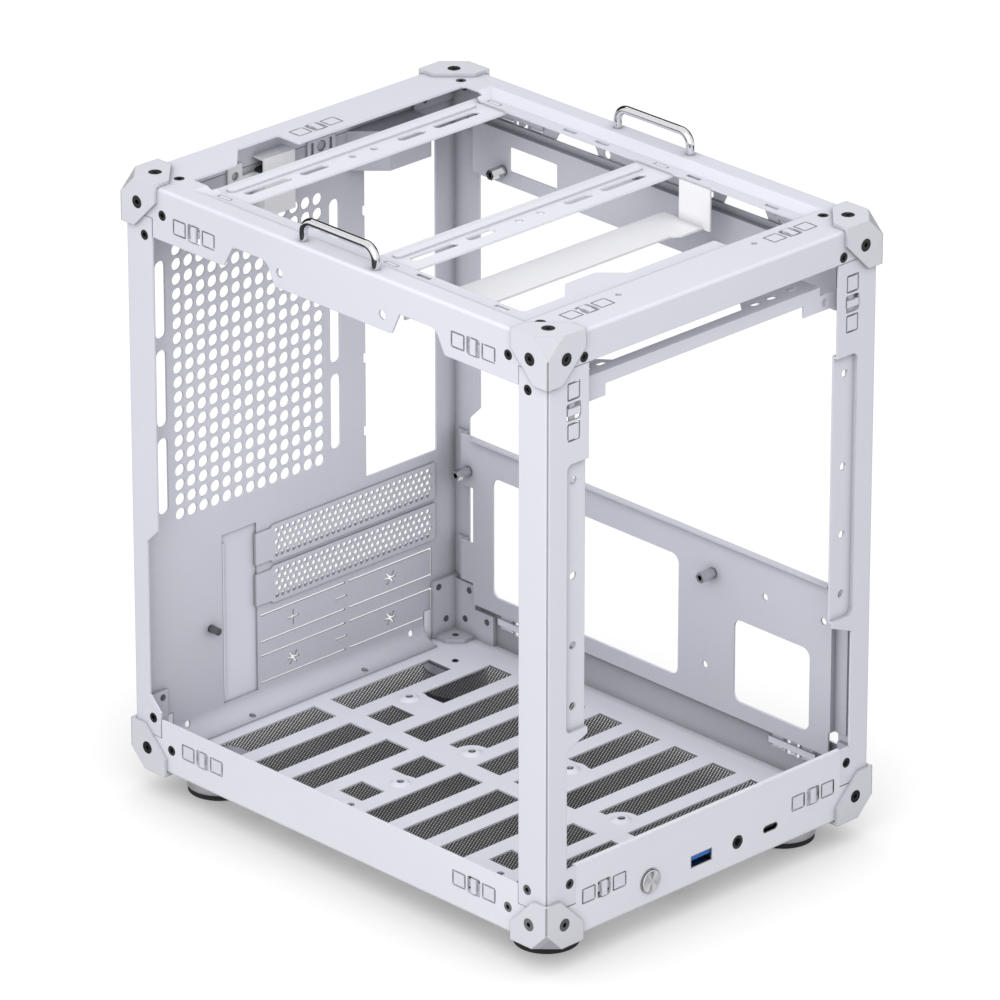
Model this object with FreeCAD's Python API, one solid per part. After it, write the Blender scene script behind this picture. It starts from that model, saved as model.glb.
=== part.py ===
"""Open-frame computer case: folded sheet panels held by eight three-way corner caps.

Frame: origin on the floor under the middle of the case, +X to the right seen from
the front, -Y out of the front, +Z up. All sizes are millimetres.
"""
import FreeCAD
import Part

import math
import os

V = FreeCAD.Vector

# Overall size of the case, over the corner caps, and the sheet it is folded from
case_width = 202.8
case_depth = 266.8
case_height = 285.7
foot_height = 12.0
sheet = 1.0
bend_radius = 1.5
fit = 0.3

# Corner caps, inner corner joints and their screws
cap_thickness = 1.7
cap_leg = 22.5
cap_inner_cut = 13.7
cap_vertex_cut = 9.3
cap_screw_inset = 11.0
joint_thickness = 2.0
joint_long = 27.0
joint_short = 15.0
joint_post = 29.0
joint_rail = 20.0
screw_radius = 1.5
screw_head_radius = 2.9
screw_head_depth = 1.5
sheet_head_radius = 2.3
sheet_head_depth = 1.1
screw_length = 6.0
cap_screw_length = 4.9
sheet_screw_length = 3.2
socket_radius = 1.2

# Top frame: a ring with side flanges, a stepped ledge and a large opening
rail_height = 15.0
side_flange = 24.0
flange_rise = 13.5
post_leg_side = 17.3
step_inset_side = 9.7
step_inset_end = 24.0
step_slope = 5.5
step_depth = 2.8
ledge_side = 6.2
ledge_front = 7.0
rear_notch = (-56.0, -43.0, -19.0)
rear_notch_depth = 13.5
front_tab = (-54.0, -44.0, -26.0, -16.0)
front_tab_reach = 10.0
ledge_front_end = 36.0
rail_slot_length = 8.0
rail_slot_width = 2.2
rail_slots_left = (87.0, -18.0, -38.0, -85.5)
rail_slots_right = (87.0, 39.0, 19.0, -18.0, -38.0, -85.5)
ledge_rear_end = 98.0
rear_opening_extra = 3.6

# Posts at the front corners
post_leg_front = 24.2
post_lower_front = 12.0
post_lower_height = 95.3
strip_bottom = 98.3
strip_top = 223.3
strip_width = 12.6
strip_depth = 2.1
strip_holes = (109.3, 137.8, 170.3, 214.3)
strip_hole_radius = 1.9
strip_hole_shift = 0.7

# Bottom tray
tray_side = 25.3
tray_front = 34.3
tray_corner = 16.0
tray_front_half = 82.0
tray_lip = 6.8
vent_length = 78.0
vent_short = 62.0
vent_notch = 6.0
boss_land = 8.5
vent_width = 15.0
vent_pitch = 24.0
vent_rows = 10
vent_first = 115.0
vent_gap = 10.0
vent_shift = -1.0
drive_pitch_x = 44.45
drive_pitch_y = 95.25
drive_corner = (-33.45, -66.2)
dimple_radius = 5.0
dimple_height = 1.2
hole_radius = 1.8
floor_side_holes = (-64.0, (29.0, -66.5))

# Rear panel
rear_flange = 17.0
rear_flange_narrow = 10.0
rear_narrow_bottom = 28.3
rear_narrow_top = 117.3
rear_chamfer = 7.0
rear_lip = 10.0
rear_lip_half = 78.0
rear_lip_bend = 8.0
rear_low_holes = (69.6, 9.4)
rear_lip_holes = (35.0, 6.8)
lip_hole_radius = 1.6
shield_notch = (1.2, 5.0)
shield_notch_step = 36.0
grille_pitch = 7.08
grille_columns = 13
grille_rows = 19
grille_hole_radius = 2.75
grille_centre = (-28.9, 177.6)
fan_pitch = 105.0
fan_slot_length = 37.0
fan_slot_width = 6.0
fan_slot_step = 42.5
io_width = 44.45
io_height = 158.75
io_left = 42.3
io_bottom = 96.8
slot_pitch = 20.32
slot_left = -24.0
slot_right = 83.5
slot_top = 92.5
slot_opening = 13.2
slot_groove = 1.1
mark_arm = 3.6
mark_width = 1.0
mark_columns = (-4.0, 26.0, 57.0)

# Expansion slot covers and their retaining plate
cover_thickness = 0.8
cover_lap = 8.0
cover_width = 18.4
cover_neck = -18.0
cover_shoulder = 1.3
cover_overlap = 1.5
retainer_sheet = 1.0
retainer_left = -60.0
retainer_bottom = 10.0
retainer_height = 88.0
retainer_gap = (-47.0, -26.0, 12.0, 95.5)
retainer_hole = (-54.5, 52.0)
retainer_screw_radius = 1.75
retainer_screw_length = 7.5

# Motherboard tray, upper strip and stand-offs
tray_inset = 4.0
plate_bottom = 21.5
plate_top = 105.5
plate_front = -112.0
plate_rear = 115.0
plate_tab = 8.0
plate_foot_half = 101.0
upper_tab_bottom = 80.0
lower_tab = (32.0, 52.0)
front_tab_rise = 12.0
plate_holes = ((-72.0, 86.5), (-108.0, 86.5), (-35.0, 41.0))
plate_hole_radius = 1.7
plate_foot_drop = 1.2
plate_hem = 3.2
window_one = (-18.0, 102.0, 29.5, 89.5)
window_two = (-100.0, -53.0, 29.5, 70.0)
window_radius = 4.5
strip_low = 236.5
strip_high = 262.0
strip_window = (60.5, 91.0, 243.5, 255.5)
strip_lap = 3.0
standoff_length = 8.6
standoff_radius = 2.6
standoff_bore = 1.25
board_column = 157.48
board_offset = 22.86
board_row = 154.94
board_origin = (117.8, 88.0)

# Cross members under the top frame
bracket_width = 22.5
bracket_rear = 88.0
bracket_line = -1.95
bracket_bead = 4.5
bracket_bead_height = 0.9
long_slot = 27.0
short_slot = 16.0
long_slot_centre = 57.0
short_slot_centre = 29.5
slot_width = 4.2
middle_hole_spacing = 13.0
middle_hole_radius = 1.8
channel_width = 26.0
channel_centre = -35.0
channel_drop = 22.3
channel_hook_width = 19.0
channel_hook_centre = -42.5
front_channel_drop = 25.3
front_channel_inset = 5.8
front_channel_depth = 13.0
front_channel_narrow = 6.0
front_channel_face = 6.0
front_channel_half = 70.0
front_channel_wide = (-50.0, 28.0)
front_channel_tab = (4.0, 11.5)
channel_slots = (37.0, 47.0, 60.0, -65.0, -56.0)
channel_slot = (6.0, 3.4)
channel_slot_inset = 7.0
channel_hole_x = 73.0
channel_hole_rise = 3.6

# Handles, feet and dust filter
handle_rod = 2.0
handle_span = 45.0
handle_rise = 11.7
handle_bend = 6.0
handle_inset = 4.8
foot_radius = 15.0
pad_inset = 0.5
foot_screw_length = 4.9
foot_screw_stand = 0.4
pad_height = 2.0
foot_positions = ((-73.5, -105.0), (73.5, -105.0), (-73.5, 105.0), (73.5, 105.0))
filter_thickness = 0.6
filter_margin = 12.0

# Panel catches: two square pads and a sprung middle bar in the sheet
catch_length = 27.0
catch_pad = (6.6, 6.0)
catch_window = (8.4, 7.5)
catch_middle = (8.0, 8.4)
catch_strip = 3.2
catch_end = 1.0
catch_back = 0.8
catch_bar = (3.2, 7.2)
catch_swell = 0.3
catch_side_rows = (87.5, -86.8)
catch_flange_rise = 8.9
catch_tray_rise = 14.3
catch_on_post = (84.4, 249.0)
catch_on_front = (64.8, 19.5)
catch_on_top = (61.3, 15.7)
catch_rear_inset = 15.3
loop_frame = (7.0, 24.0, 263.0, 270.6)
loop_sheet = 1.0
loop_corner = 1.0
loop_bore = 2.7
loop_slot = 1.7
loop_slot_reach = 5.6

# Front controls and ports
control_height = 11.3
button_x = -36.8
button_radius = 5.2
button_travel = 0.8
button_stand = 1.1
bezel_wall = 0.5
button_gap = 0.15
switch_size = 11.0
switch_depth = 7.0
usb_a_x = -5.2
usb_a_size = (13.1, 5.9)
jack_x = 17.4
jack_radius = 3.2
usb_c_x = 38.0
usb_c_size = (9.0, 3.3)
port_depth = 14.0
port_wall = 0.35
board_size = (74.0, 16.0)
board_left_inset = 9.0
board_right_inset = 5.0
board_thickness = 1.6

# Stiffener folded over the top of the port opening
stiffener_plan = (31.5, 45.5, 71.0)
stiffener_depth = 13.7
stiffener_bottom = 250.0
stiffener_top = 269.0

# Power inlet on the rear panel
inlet_centre = (-16.0, 256.5)
inlet_depth = 6.3
inlet_wall = 1.5
inlet_pin = (2.0, 0.7)
inlet_pin_step = 6.0
inlet_bore = (16.5, 21.0)
housing_size = (18.7, 28.0, 7.6)
housing_top = 273.3
housing_ear = (-41.0, -32.3, 261.0, 272.0)
housing_neck = 265.5
housing_ear_hole = 2.0

# Places worked out from the sizes above
side = case_width / 2 - cap_thickness
end = case_depth / 2 - cap_thickness
low = foot_height + cap_thickness
high = foot_height + case_height - cap_thickness
rail_low = high - rail_height
floor_top = low + sheet
ledge_top = high - step_depth
opening_half = side - step_inset_side - step_slope - ledge_side
tray_x = side - sheet - tray_inset


def box(x0, x1, y0, y1, z0, z1):
    """Box between two corners."""
    return Part.makeBox(x1 - x0, y1 - y0, z1 - z0, V(x0, y0, z0))


def corner_arc(before, point, after, radius):
    """Tangent points and middle of the arc that rounds one corner."""
    back = (before - point).normalize()
    ahead = (after - point).normalize()
    half = back.getAngle(ahead) / 2
    reach = radius / math.tan(half)
    centre = point + (back + ahead).normalize() * (radius / math.sin(half))
    middle = centre + (point - centre).normalize() * radius
    return point + back * reach, middle, point + ahead * reach


def outline(points, radii=0.0):
    """Closed wire through points, with each corner rounded by its radius."""
    count = len(points)
    if not isinstance(radii, (list, tuple)):
        radii = [radii] * count
    edges = []
    marks = []
    for i in range(count):
        if radii[i] > 0:
            marks.append(corner_arc(points[i - 1], points[i], points[(i + 1) % count], radii[i]))
        else:
            marks.append((points[i], None, points[i]))
    for i in range(count):
        start, middle, finish = marks[i]
        if middle is not None:
            edges.append(Part.Arc(start, middle, finish).toShape())
        following = marks[(i + 1) % count][0]
        if (following - finish).Length > 1e-6:
            edges.append(Part.makeLine(finish, following))
    return Part.Wire(edges)


def plate_x(points, x0, x1, radii=0.0):
    """Plate across X from an outline of (y, z) points."""
    wire = outline([V(x0, y, z) for y, z in points], radii)
    return Part.Face(wire).extrude(V(x1 - x0, 0, 0))


def plate_y(points, y0, y1, radii=0.0):
    """Plate across Y from an outline of (x, z) points."""
    wire = outline([V(x, y0, z) for x, z in points], radii)
    return Part.Face(wire).extrude(V(0, y1 - y0, 0))


def plate_z(points, z0, z1, radii=0.0):
    """Plate across Z from an outline of (x, y) points."""
    wire = outline([V(x, y, z0) for x, y in points], radii)
    return Part.Face(wire).extrude(V(0, 0, z1 - z0))


def rectangle(a0, a1, b0, b1):
    """Corners of a rectangle, in order."""
    return [(a0, b0), (a1, b0), (a1, b1), (a0, b1)]


def slot(a, b, length, width):
    """Outline points and radii of a round-ended slot along the first axis."""
    points = rectangle(a - length / 2, a + length / 2, b - width / 2, b + width / 2)
    return points, width / 2 - 0.01


def mirrored_x(shape):
    """The same piece on the other side of the case."""
    return shape.mirror(V(0, 0, 0), V(1, 0, 0))


def fuse_all(shapes):
    """One solid from pieces that touch or overlap."""
    return shapes[0].multiFuse(shapes[1:]).removeSplitter()


def folded(pan, edges_at):
    """Round the outer fold lines of a pan, picked by the middle of each edge."""
    chosen = [edge for edge in pan.Edges if edges_at(edge.CenterOfMass, edge)]
    return pan.makeFillet(bend_radius, chosen)


def countersunk_screw(length, radius=screw_head_radius, depth=screw_head_depth):
    """Countersunk screw with a hexagon socket, head up at the origin, pointing down."""
    head = Part.makeCone(screw_radius, radius, depth, V(0, 0, -depth))
    shank = Part.makeCylinder(screw_radius, length - depth, V(0, 0, -length))
    corners = [V(socket_radius * math.cos(k * math.pi / 3), socket_radius * math.sin(k * math.pi / 3),
                 -depth * 0.8) for k in range(7)]
    socket = Part.Face(Part.makePolygon(corners)).extrude(V(0, 0, depth))
    return head.fuse(shank).removeSplitter().cut(socket)


def screw_hole(radius=screw_head_radius, depth=screw_head_depth):
    """Clearance shape for a countersunk screw at the origin, pointing down."""
    head = Part.makeCone(screw_radius + fit / 3, radius + fit / 3, depth, V(0, 0, -depth))
    mouth = Part.makeCylinder(radius + fit / 3, 1.0)
    return fuse_all([head, mouth, Part.makeCylinder(screw_radius, screw_length, V(0, 0, -screw_length))])


def aim(shape, place, outward):
    """Turn a screw's +Z to its outward direction and move it to its place."""
    moved = shape.copy()
    moved.Placement = FreeCAD.Placement(V(*place), FreeCAD.Rotation(V(0, 0, 1), V(*outward)))
    return moved


def corner_signs():
    """The eight corners, as a name and the signs of X, Y and Z there."""
    for level, sz in (("bottom", -1), ("top", 1)):
        for face, sy in (("front", -1), ("rear", 1)):
            for hand, sx in (("left", -1), ("right", 1)):
                yield level + "_" + face + "_" + hand, (sx, sy, sz)


def to_corner(shape, signs):
    """Move a piece drawn at the bottom front left corner to another corner."""
    placed = shape
    middle = V(0, 0, foot_height + case_height / 2)
    for sign, normal in zip(signs, (V(1, 0, 0), V(0, 1, 0), V(0, 0, 1))):
        if sign > 0:
            placed = placed.mirror(middle, normal)
    return placed


def screw_places():
    """Each frame screw drawn at the bottom front left corner: place and outward axis."""
    x = -case_width / 2
    y = -case_depth / 2
    z = foot_height
    d = cap_screw_inset
    caps = [((x, y + d, z + d), (-1, 0, 0)), ((x + d, y, z + d), (0, -1, 0)), ((x + d, y + d, z), (0, 0, -1))]
    sheets = [((-side, y + 25.5, z + 13.8), (-1, 0, 0)), ((-side, y + 13.7, z + 26.2), (-1, 0, 0)),
              ((x + 15.6, -end, z + 28.5), (0, -1, 0)), ((x + 16.2, y + 20.9, low), (0, 0, -1))]
    rail = [((x + 23.0, -end, z + 13.9), (0, -1, 0))]
    return caps, sheets, rail


def corner_screw_list(signs):
    """Screws at one corner: those of the cap, then those of the sheets under it."""
    caps, sheets, rail = screw_places()
    if signs[2] > 0:
        return caps, sheets[:2] + rail + sheets[3:]
    return caps, sheets[:3]


def corner_holes(signs):
    """Everything the screws at one corner cut away, as one shape."""
    caps, sheets = corner_screw_list(signs)
    holes = [aim(screw_hole(), place, axis) for place, axis in caps]
    holes += [aim(screw_hole(sheet_head_radius, sheet_head_depth), place, axis) for place, axis in sheets]
    return to_corner(Part.makeCompound(holes), signs)


def all_corner_holes():
    """Clearance of all the frame screws."""
    return Part.makeCompound([corner_holes(signs) for name, signs in corner_signs()])


def corner_cap():
    """Three-way cap at the bottom front left corner: a cast shell with cut corners."""
    x = -case_width / 2
    y = -case_depth / 2
    z = foot_height
    leg = cap_leg
    block = box(x, x + leg, y, y + leg, z, z + leg)
    block = block.cut(box(-side, x + leg + 1, -end, y + leg + 1, low, z + leg + 1))
    near = leg - cap_inner_cut
    cuts = [plate_x([(y + leg + 1, z + near - 1), (y + leg + 1, z + leg + 1), (y + near - 1, z + leg + 1)],
                    x - 1, -side + 0.001),
            plate_y([(x + leg + 1, z + near - 1), (x + leg + 1, z + leg + 1), (x + near - 1, z + leg + 1)],
                    y - 1, -end + 0.001),
            plate_z([(x + leg + 1, y + near - 1), (x + leg + 1, y + leg + 1), (x + near - 1, y + leg + 1)],
                    z - 1, low + 0.001)]
    tip = cap_vertex_cut
    corner = [V(x - 1, y - 1, z - 1), V(x + tip, y, z), V(x, y + tip, z), V(x, y, z + tip)]
    faces = [(corner[1], corner[2], corner[3]), (corner[0], corner[2], corner[1]),
             (corner[0], corner[3], corner[2]), (corner[0], corner[1], corner[3])]
    shell = Part.makeShell([Part.Face(Part.makePolygon([a, b, c, a])) for a, b, c in faces])
    inside = [V(-side, -end, low), V(-side + tip, -end, low), V(-side, -end + tip, low),
              V(-side, -end, low + tip)]
    faces = [(inside[1], inside[2], inside[3]), (inside[0], inside[1], inside[2]),
             (inside[0], inside[2], inside[3]), (inside[0], inside[3], inside[1])]
    web = Part.Solid(Part.makeShell([Part.Face(Part.makePolygon([a, b, c, a])) for a, b, c in faces]))
    return block.cut(cuts), Part.Solid(shell), web


def joint_face(long_a, short_a, long_b, short_b):
    """Outline of one plate of the inner corner joint, from its corner."""
    return [(0, 0), (long_a, 0), (long_a, short_b), (short_a, short_b), (short_a, long_b), (0, long_b)]


def corner_joint(top):
    """Inner three-way joint at the bottom front left corner, tapped for the screws."""
    x = -side + sheet
    y = -end + sheet
    z = floor_top
    t = joint_thickness
    if top:
        reach = step_inset_end - sheet - 1.5
        flat = [(0, 0), (joint_rail, 0), (joint_rail, reach - 6), (joint_rail - 6, reach), (0, reach)]
        face = rectangle(0, joint_long, 0, joint_short)
    else:
        flat = [(0, 0), (joint_short, 0), (joint_short, joint_short - 6), (joint_short - 6, joint_short),
                (0, joint_short)]
        face = rectangle(0, joint_short + 1, 0, joint_post)
    upright = joint_face(joint_long, joint_short, joint_long, joint_short)
    plates = [plate_z([(x + a, y + b) for a, b in flat], z, z + t),
              plate_x([(y + a, z + b) for a, b in upright], x, x + t),
              plate_y([(x + a, z + b) for a, b in face], y, y + t)]
    return fuse_all(plates)


def vertex_room():
    """Room for the webs of the caps: a small pyramid cut from each corner of the sheets."""
    reach = cap_vertex_cut + fit
    a = V(-side - 1, -end - 1, low - 1)
    tips = [V(-side + reach, -end, low), V(-side, -end + reach, low), V(-side, -end, low + reach)]
    spread = 3.0
    b = tips[0] + V(spread, -spread / 2, -spread / 2)
    c = tips[1] + V(-spread / 2, spread, -spread / 2)
    d = tips[2] + V(-spread / 2, -spread / 2, spread)
    faces = [(b, d, c), (a, c, d), (a, b, c), (a, d, b)]
    pyramid = Part.Solid(Part.makeShell([Part.Face(Part.makePolygon([p, q, r, p])) for p, q, r in faces]))
    return Part.makeCompound([to_corner(pyramid, signs) for name, signs in corner_signs()])


def catch_cuts():
    """The openings of one panel catch, as (along, across) outlines with radii."""
    wide, tall = catch_window
    reach = (catch_length - wide) / 2
    shapes = []
    for centre in (-reach, reach):
        shapes.append((rectangle(centre - wide / 2, centre + wide / 2, -tall / 2, tall / 2), 0.8))
    wide, tall = catch_middle
    shapes.append((rectangle(-wide / 2, wide / 2, -tall / 2, tall / 2), 1.2))
    return shapes


def catch_places():
    """Each panel catch: centre on the outer face, outward axis and direction it runs."""
    flange_mid = high - side_flange + catch_flange_rise
    tray_mid = low + catch_tray_rise
    places = []
    for sx in (-1, 1):
        for y in catch_side_rows:
            places.append(((sx * side, y, flange_mid), (sx, 0, 0), (0, 1, 0)))
            places.append(((sx * side, y, tray_mid), (sx, 0, 0), (0, 1, 0)))
        x, z = catch_on_post
        places.append(((sx * x, -end, foot_height + z), (0, -1, 0), (0, 0, 1)))
        x, z = catch_on_front
        places.append(((sx * x, -end, foot_height + z), (0, -1, 0), (1, 0, 0)))
        x, inset = catch_on_top
        places.append(((sx * x, -end + inset, high), (0, 0, 1), (1, 0, 0)))
    places.append(((0.0, end - catch_rear_inset, high), (0, 0, 1), (1, 0, 0)))
    return places


def place_catch(shape, place, outward, along):
    """Put a catch shape, drawn along X with +Z outward, on its face."""
    third = V(*outward).cross(V(*along))
    matrix = FreeCAD.Matrix(along[0], third.x, outward[0], place[0],
                            along[1], third.y, outward[1], place[1],
                            along[2], third.z, outward[2], place[2], 0, 0, 0, 1)
    return shape.transformed(matrix)


def catch_openings():
    """All catch openings, cut through the sheet they sit in."""
    tool = Part.makeCompound([plate_z(points, -2 * sheet, sheet, radius) for points, radius in catch_cuts()])
    return Part.makeCompound([place_catch(tool, *spot) for spot in catch_places()])


def panel_catches():
    """Sprung panel catches: a back strip with two square pads and a middle bar."""
    end_x = catch_length / 2 + catch_end
    back = box(-end_x, end_x, -catch_strip / 2, catch_strip / 2, -sheet - catch_back, -sheet)
    wide, tall = catch_pad
    reach = (catch_length - catch_window[0]) / 2
    pieces = [back]
    for centre in (-reach, reach):
        pieces.append(box(centre - wide / 2, centre + wide / 2, -tall / 2, tall / 2, -sheet - 0.1, 0))
    wide, tall = catch_bar
    pieces.append(box(-wide / 2, wide / 2, -tall / 2, tall / 2, -sheet - 0.1, catch_swell))
    catch = fuse_all(pieces)
    return Part.makeCompound([place_catch(catch, *spot) for spot in catch_places()] + [rear_loop()])


def rear_loop():
    """Latch loop of the rear catch, flat on the inside of the top frame's rear flange."""
    x0, x1, z0, z1 = loop_frame
    y0 = end - sheet - loop_sheet
    y1 = end - sheet
    middle_x = (x0 + x1) / 2
    middle_z = foot_height + (z0 + z1) / 2
    plate = plate_y(rectangle(x0, x1, foot_height + z0, foot_height + z1), y0, y1, loop_corner)
    cuts = [Part.makeCylinder(loop_bore, 3 * loop_sheet, V(middle_x, y0 - loop_sheet, middle_z), V(0, 1, 0))]
    for side_x in (-1, 1):
        x = middle_x + side_x * loop_slot_reach
        cuts.append(box(x - loop_slot / 2, x + loop_slot / 2, y0 - 1, y1 + 1,
                        middle_z - loop_bore, middle_z + loop_bore))
    return plate.cut(cuts)


def pocket(top_inset_x, top_front, top_rear, depth, slope, z):
    """Stepped pocket with sloped sides, from level z down."""
    upper = Part.makePolygon([V(x, y, z) for x, y in
                              rectangle(-side + top_inset_x, side - top_inset_x, top_front, top_rear)
                              + [(-side + top_inset_x, top_front)]])
    lower = Part.makePolygon([V(x, y, z - depth) for x, y in
                              rectangle(-side + top_inset_x + slope, side - top_inset_x - slope,
                                        top_front + slope, top_rear - slope)
                              + [(-side + top_inset_x + slope, top_front + slope)]])
    return Part.makeLoft([upper, lower], True, True)


def side_profile():
    """Lower edge of the top frame's side flanges, as (y, z), closed below."""
    low_z = high - side_flange
    rise = high - flange_rise
    inner = end - post_leg_side - fit
    points = [(-end - 5, rail_low), (-inner, rail_low), (-inner, low_z), (-69.5, low_z), (-64.0, rise),
              (-42.0, rise), (-37.0, low_z), (36.0, low_z), (41.0, rise), (62.5, rise), (68.5, low_z),
              (inner, low_z), (inner, rail_low), (end + 5, rail_low), (end + 5, low_z - 20),
              (-end - 5, low_z - 20)]
    radii = [0, 0.5, 0.5, 1.5, 5, 1.0, 1.5, 1.5, 6, 1.5, 1.0, 0.5, 0.5, 0, 0, 0]
    return points, radii


def top_opening():
    """Outline of the opening in the top, with the rear notch and the front tab."""
    half = opening_half
    rear = end - step_inset_end - 0.6
    front = -end + step_inset_end + step_slope + ledge_front
    corner_front = -end + step_inset_end + 1.0
    n0, n1, n2 = rear_notch
    t0, t1, t2, t3 = front_tab
    wide = half + rear_opening_extra
    turn = ledge_rear_end - step_slope / 2
    points = [(-half, front), (t0, front), (t1, front + front_tab_reach), (t2, front + front_tab_reach),
              (t3, front), (ledge_front_end, front), (ledge_front_end, corner_front), (half, corner_front),
              (half, turn), (wide, turn), (wide, rear), (n2, rear), (n2, rear + rear_notch_depth),
              (n1, rear + rear_notch_depth), (n0, rear), (-wide, rear), (-wide, turn), (-half, turn)]
    return points, [2, 1, 1, 1, 1, 1, 1, 2, 1, 1, 1.5, 1, 1, 1, 1, 1.5, 1, 1]


def top_frame():
    """Top frame: one sheet folded down on four sides, with a stepped ledge inside."""
    outer = box(-side, side, -end, end, high - side_flange, high)
    outer = folded(outer, lambda mid, edge: abs(mid.z - high) < 1e-6)
    inner = box(-side + sheet, side - sheet, -end + sheet, end - sheet, high - side_flange - 1, high - sheet)
    front = -end + step_inset_end
    rear = ledge_rear_end
    outer = outer.cut(pocket(step_inset_side, front, rear, step_depth, step_slope, high))
    inner = inner.cut(pocket(step_inset_side - 0.2, front - 0.2, rear + 0.2, step_depth, step_slope,
                             high - sheet))
    ring = outer.cut(inner)
    points, radii = side_profile()
    ring = ring.cut(plate_x(points, -side - 5, side + 5, radii))
    points, radii = top_opening()
    ring = ring.cut(plate_z(points, ledge_top - 5, high + 5, radii))
    holes = []
    for sx in (-1, 1):
        for y in rail_slots_left if sx < 0 else rail_slots_right:
            points = rectangle(sx * (opening_half + 3.2) - rail_slot_width / 2,
                               sx * (opening_half + 3.2) + rail_slot_width / 2,
                               y - rail_slot_length / 2, y + rail_slot_length / 2)
            holes.append(plate_z(points, ledge_top - 5, high + 5))
        for y in (33.0, -31.3):
            holes.append(Part.makeCylinder(2.1, 10, V(sx * side - 5, y, high - side_flange + 7), V(1, 0, 0)))
        for y in (-handle_span / 2, handle_span / 2):
            holes.append(Part.makeCylinder(screw_radius, 10, V(sx * (side - handle_inset), y, high - 5)))
        holes.append(Part.makeCylinder(1.4, 10, V(sx * 41.0, -end + 17.5, high - 5)))
    return ring.cut(holes).cut(catch_openings()).cut(all_corner_holes()).cut(vertex_room())


def vent_outlines():
    """Floor vents, as rectangles (x0, x1, y0, y1), leaving room for the raised holes."""
    left = vent_shift - vent_gap / 2 - vent_length
    right = vent_shift + vent_gap / 2
    split = ((left, left + 12), (left + 26, left + 40), (left + 58, left + vent_length))
    vents = []
    for row in range(vent_rows):
        top = vent_first - row * vent_pitch
        bottom = top - vent_width
        if row in (3, 7):
            for x0, x1 in split:
                vents.append((x0, x1, bottom, top))
            vents.append((right + vent_notch, right + vent_length, bottom, top))
        elif row in (1, 5):
            vents.append((left, left + vent_length, bottom, top))
            vents.append((right, right + 16, bottom, top))
            vents.append((right + 34, right + vent_length, bottom, top))
        elif row in (0, vent_rows - 1):
            vents.append((left + vent_length - vent_short, left + vent_length, bottom, top))
            vents.append((right, right + vent_short, bottom, top))
        else:
            vents.append((left, left + vent_length, bottom, top))
            vents.append((right, right + vent_length, bottom, top))
    return vents


def raised_holes():
    """Raised screw holes in the floor: a drive pattern and four single places."""
    x, y = drive_corner
    places = [(x + i * drive_pitch_x, y + j * drive_pitch_y) for i in (0, 1) for j in (0, 1)]
    return places + [(30.5, 90.5), (30.5, -14.0)]


def bottom_tray():
    """Bottom tray: a pan with vents in its floor and a higher, hemmed front."""
    pan = box(-side, side, -end, end, low, low + tray_front)
    pan = folded(pan, lambda mid, edge: abs(mid.z - low) < 1e-6)
    pan = pan.cut(box(-side + sheet, side - sheet, -end + sheet, end - sheet, floor_top, low + 60))
    inner = end - post_leg_side - fit
    half = tray_front_half
    side_cut = [(-inner, low + tray_corner), (-inner, low + tray_side), (inner, low + tray_side),
                (inner, low + tray_corner), (end + 5, low + tray_corner), (end + 5, low + 60),
                (-end + 3, low + 60), (-end + 3, low + tray_corner)]
    pan = pan.cut(plate_x(side_cut, -side - 5, side + 5))
    front_cut = [(-side - 5, low + tray_corner), (-half, low + tray_corner), (-half, low + 60),
                 (-side - 5, low + 60)]
    cutter = plate_y(front_cut, -end - 5, -end + 3)
    pan = pan.cut([cutter, mirrored_x(cutter)])
    gap = rear_lip_half + fit
    pan = pan.cut(box(-gap, gap, end - sheet - 2, end + 5, floor_top, low + 60))
    lip_top = low + tray_front
    lip = box(-half, half, -end + sheet / 2, -end + sheet + tray_lip, lip_top - sheet, lip_top)
    pan = fuse_all([pan, lip])
    pan = pan.cut(Part.makeCompound([plate_z(rectangle(x0, x1, y0, y1), low - 1, floor_top + 1, 0)
                                     for x0, x1, y0, y1 in vent_outlines()]))
    bumps = []
    hollows = []
    for x, y in raised_holes():
        bumps.append(Part.makeCylinder(boss_land, sheet, V(x, y, low)))
        bumps.append(Part.makeCone(dimple_radius, dimple_radius * 0.6, dimple_height, V(x, y, floor_top)))
        hollows.append(Part.makeCone(dimple_radius - sheet, dimple_radius * 0.6 - sheet, dimple_height,
                                     V(x, y, low)))
        hollows.append(Part.makeCylinder(hole_radius, 8, V(x, y, low - 2)))
    x, rows = floor_side_holes
    for y in rows:
        hollows.append(Part.makeCylinder(hole_radius, 8, V(x, y, low - 2)))
    pan = fuse_all([pan] + bumps).cut(hollows)
    for x, y in foot_positions:
        pan = pan.cut(Part.makeCylinder(screw_radius, 8, V(x, y, low - 2)))
    pan = pan.cut(front_openings()).cut(catch_openings()).cut(lip_holes())
    return pan.cut(all_corner_holes()).cut(vertex_room())


def front_openings():
    """Openings in the front of the tray for the button and the ports."""
    z = low + control_height
    y0 = -end - 2
    y1 = -end + sheet + 2
    cuts = [Part.makeCylinder(button_radius + button_gap + bezel_wall + 0.05, y1 - y0,
                              V(button_x, y0, z), V(0, 1, 0)),
            Part.makeCylinder(jack_radius + 0.05, y1 - y0, V(jack_x, y0, z), V(0, 1, 0))]
    width, height = usb_a_size
    cuts.append(plate_y(rectangle(usb_a_x - width / 2 - 0.1, usb_a_x + width / 2 + 0.1,
                                  z - height / 2 - 0.1, z + height / 2 + 0.1), y0, y1, 0.4))
    points, radius = slot(usb_c_x, z, usb_c_size[0] + 0.2, usb_c_size[1] + 0.2)
    cuts.append(plate_y(points, y0, y1, radius))
    return cuts


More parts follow.
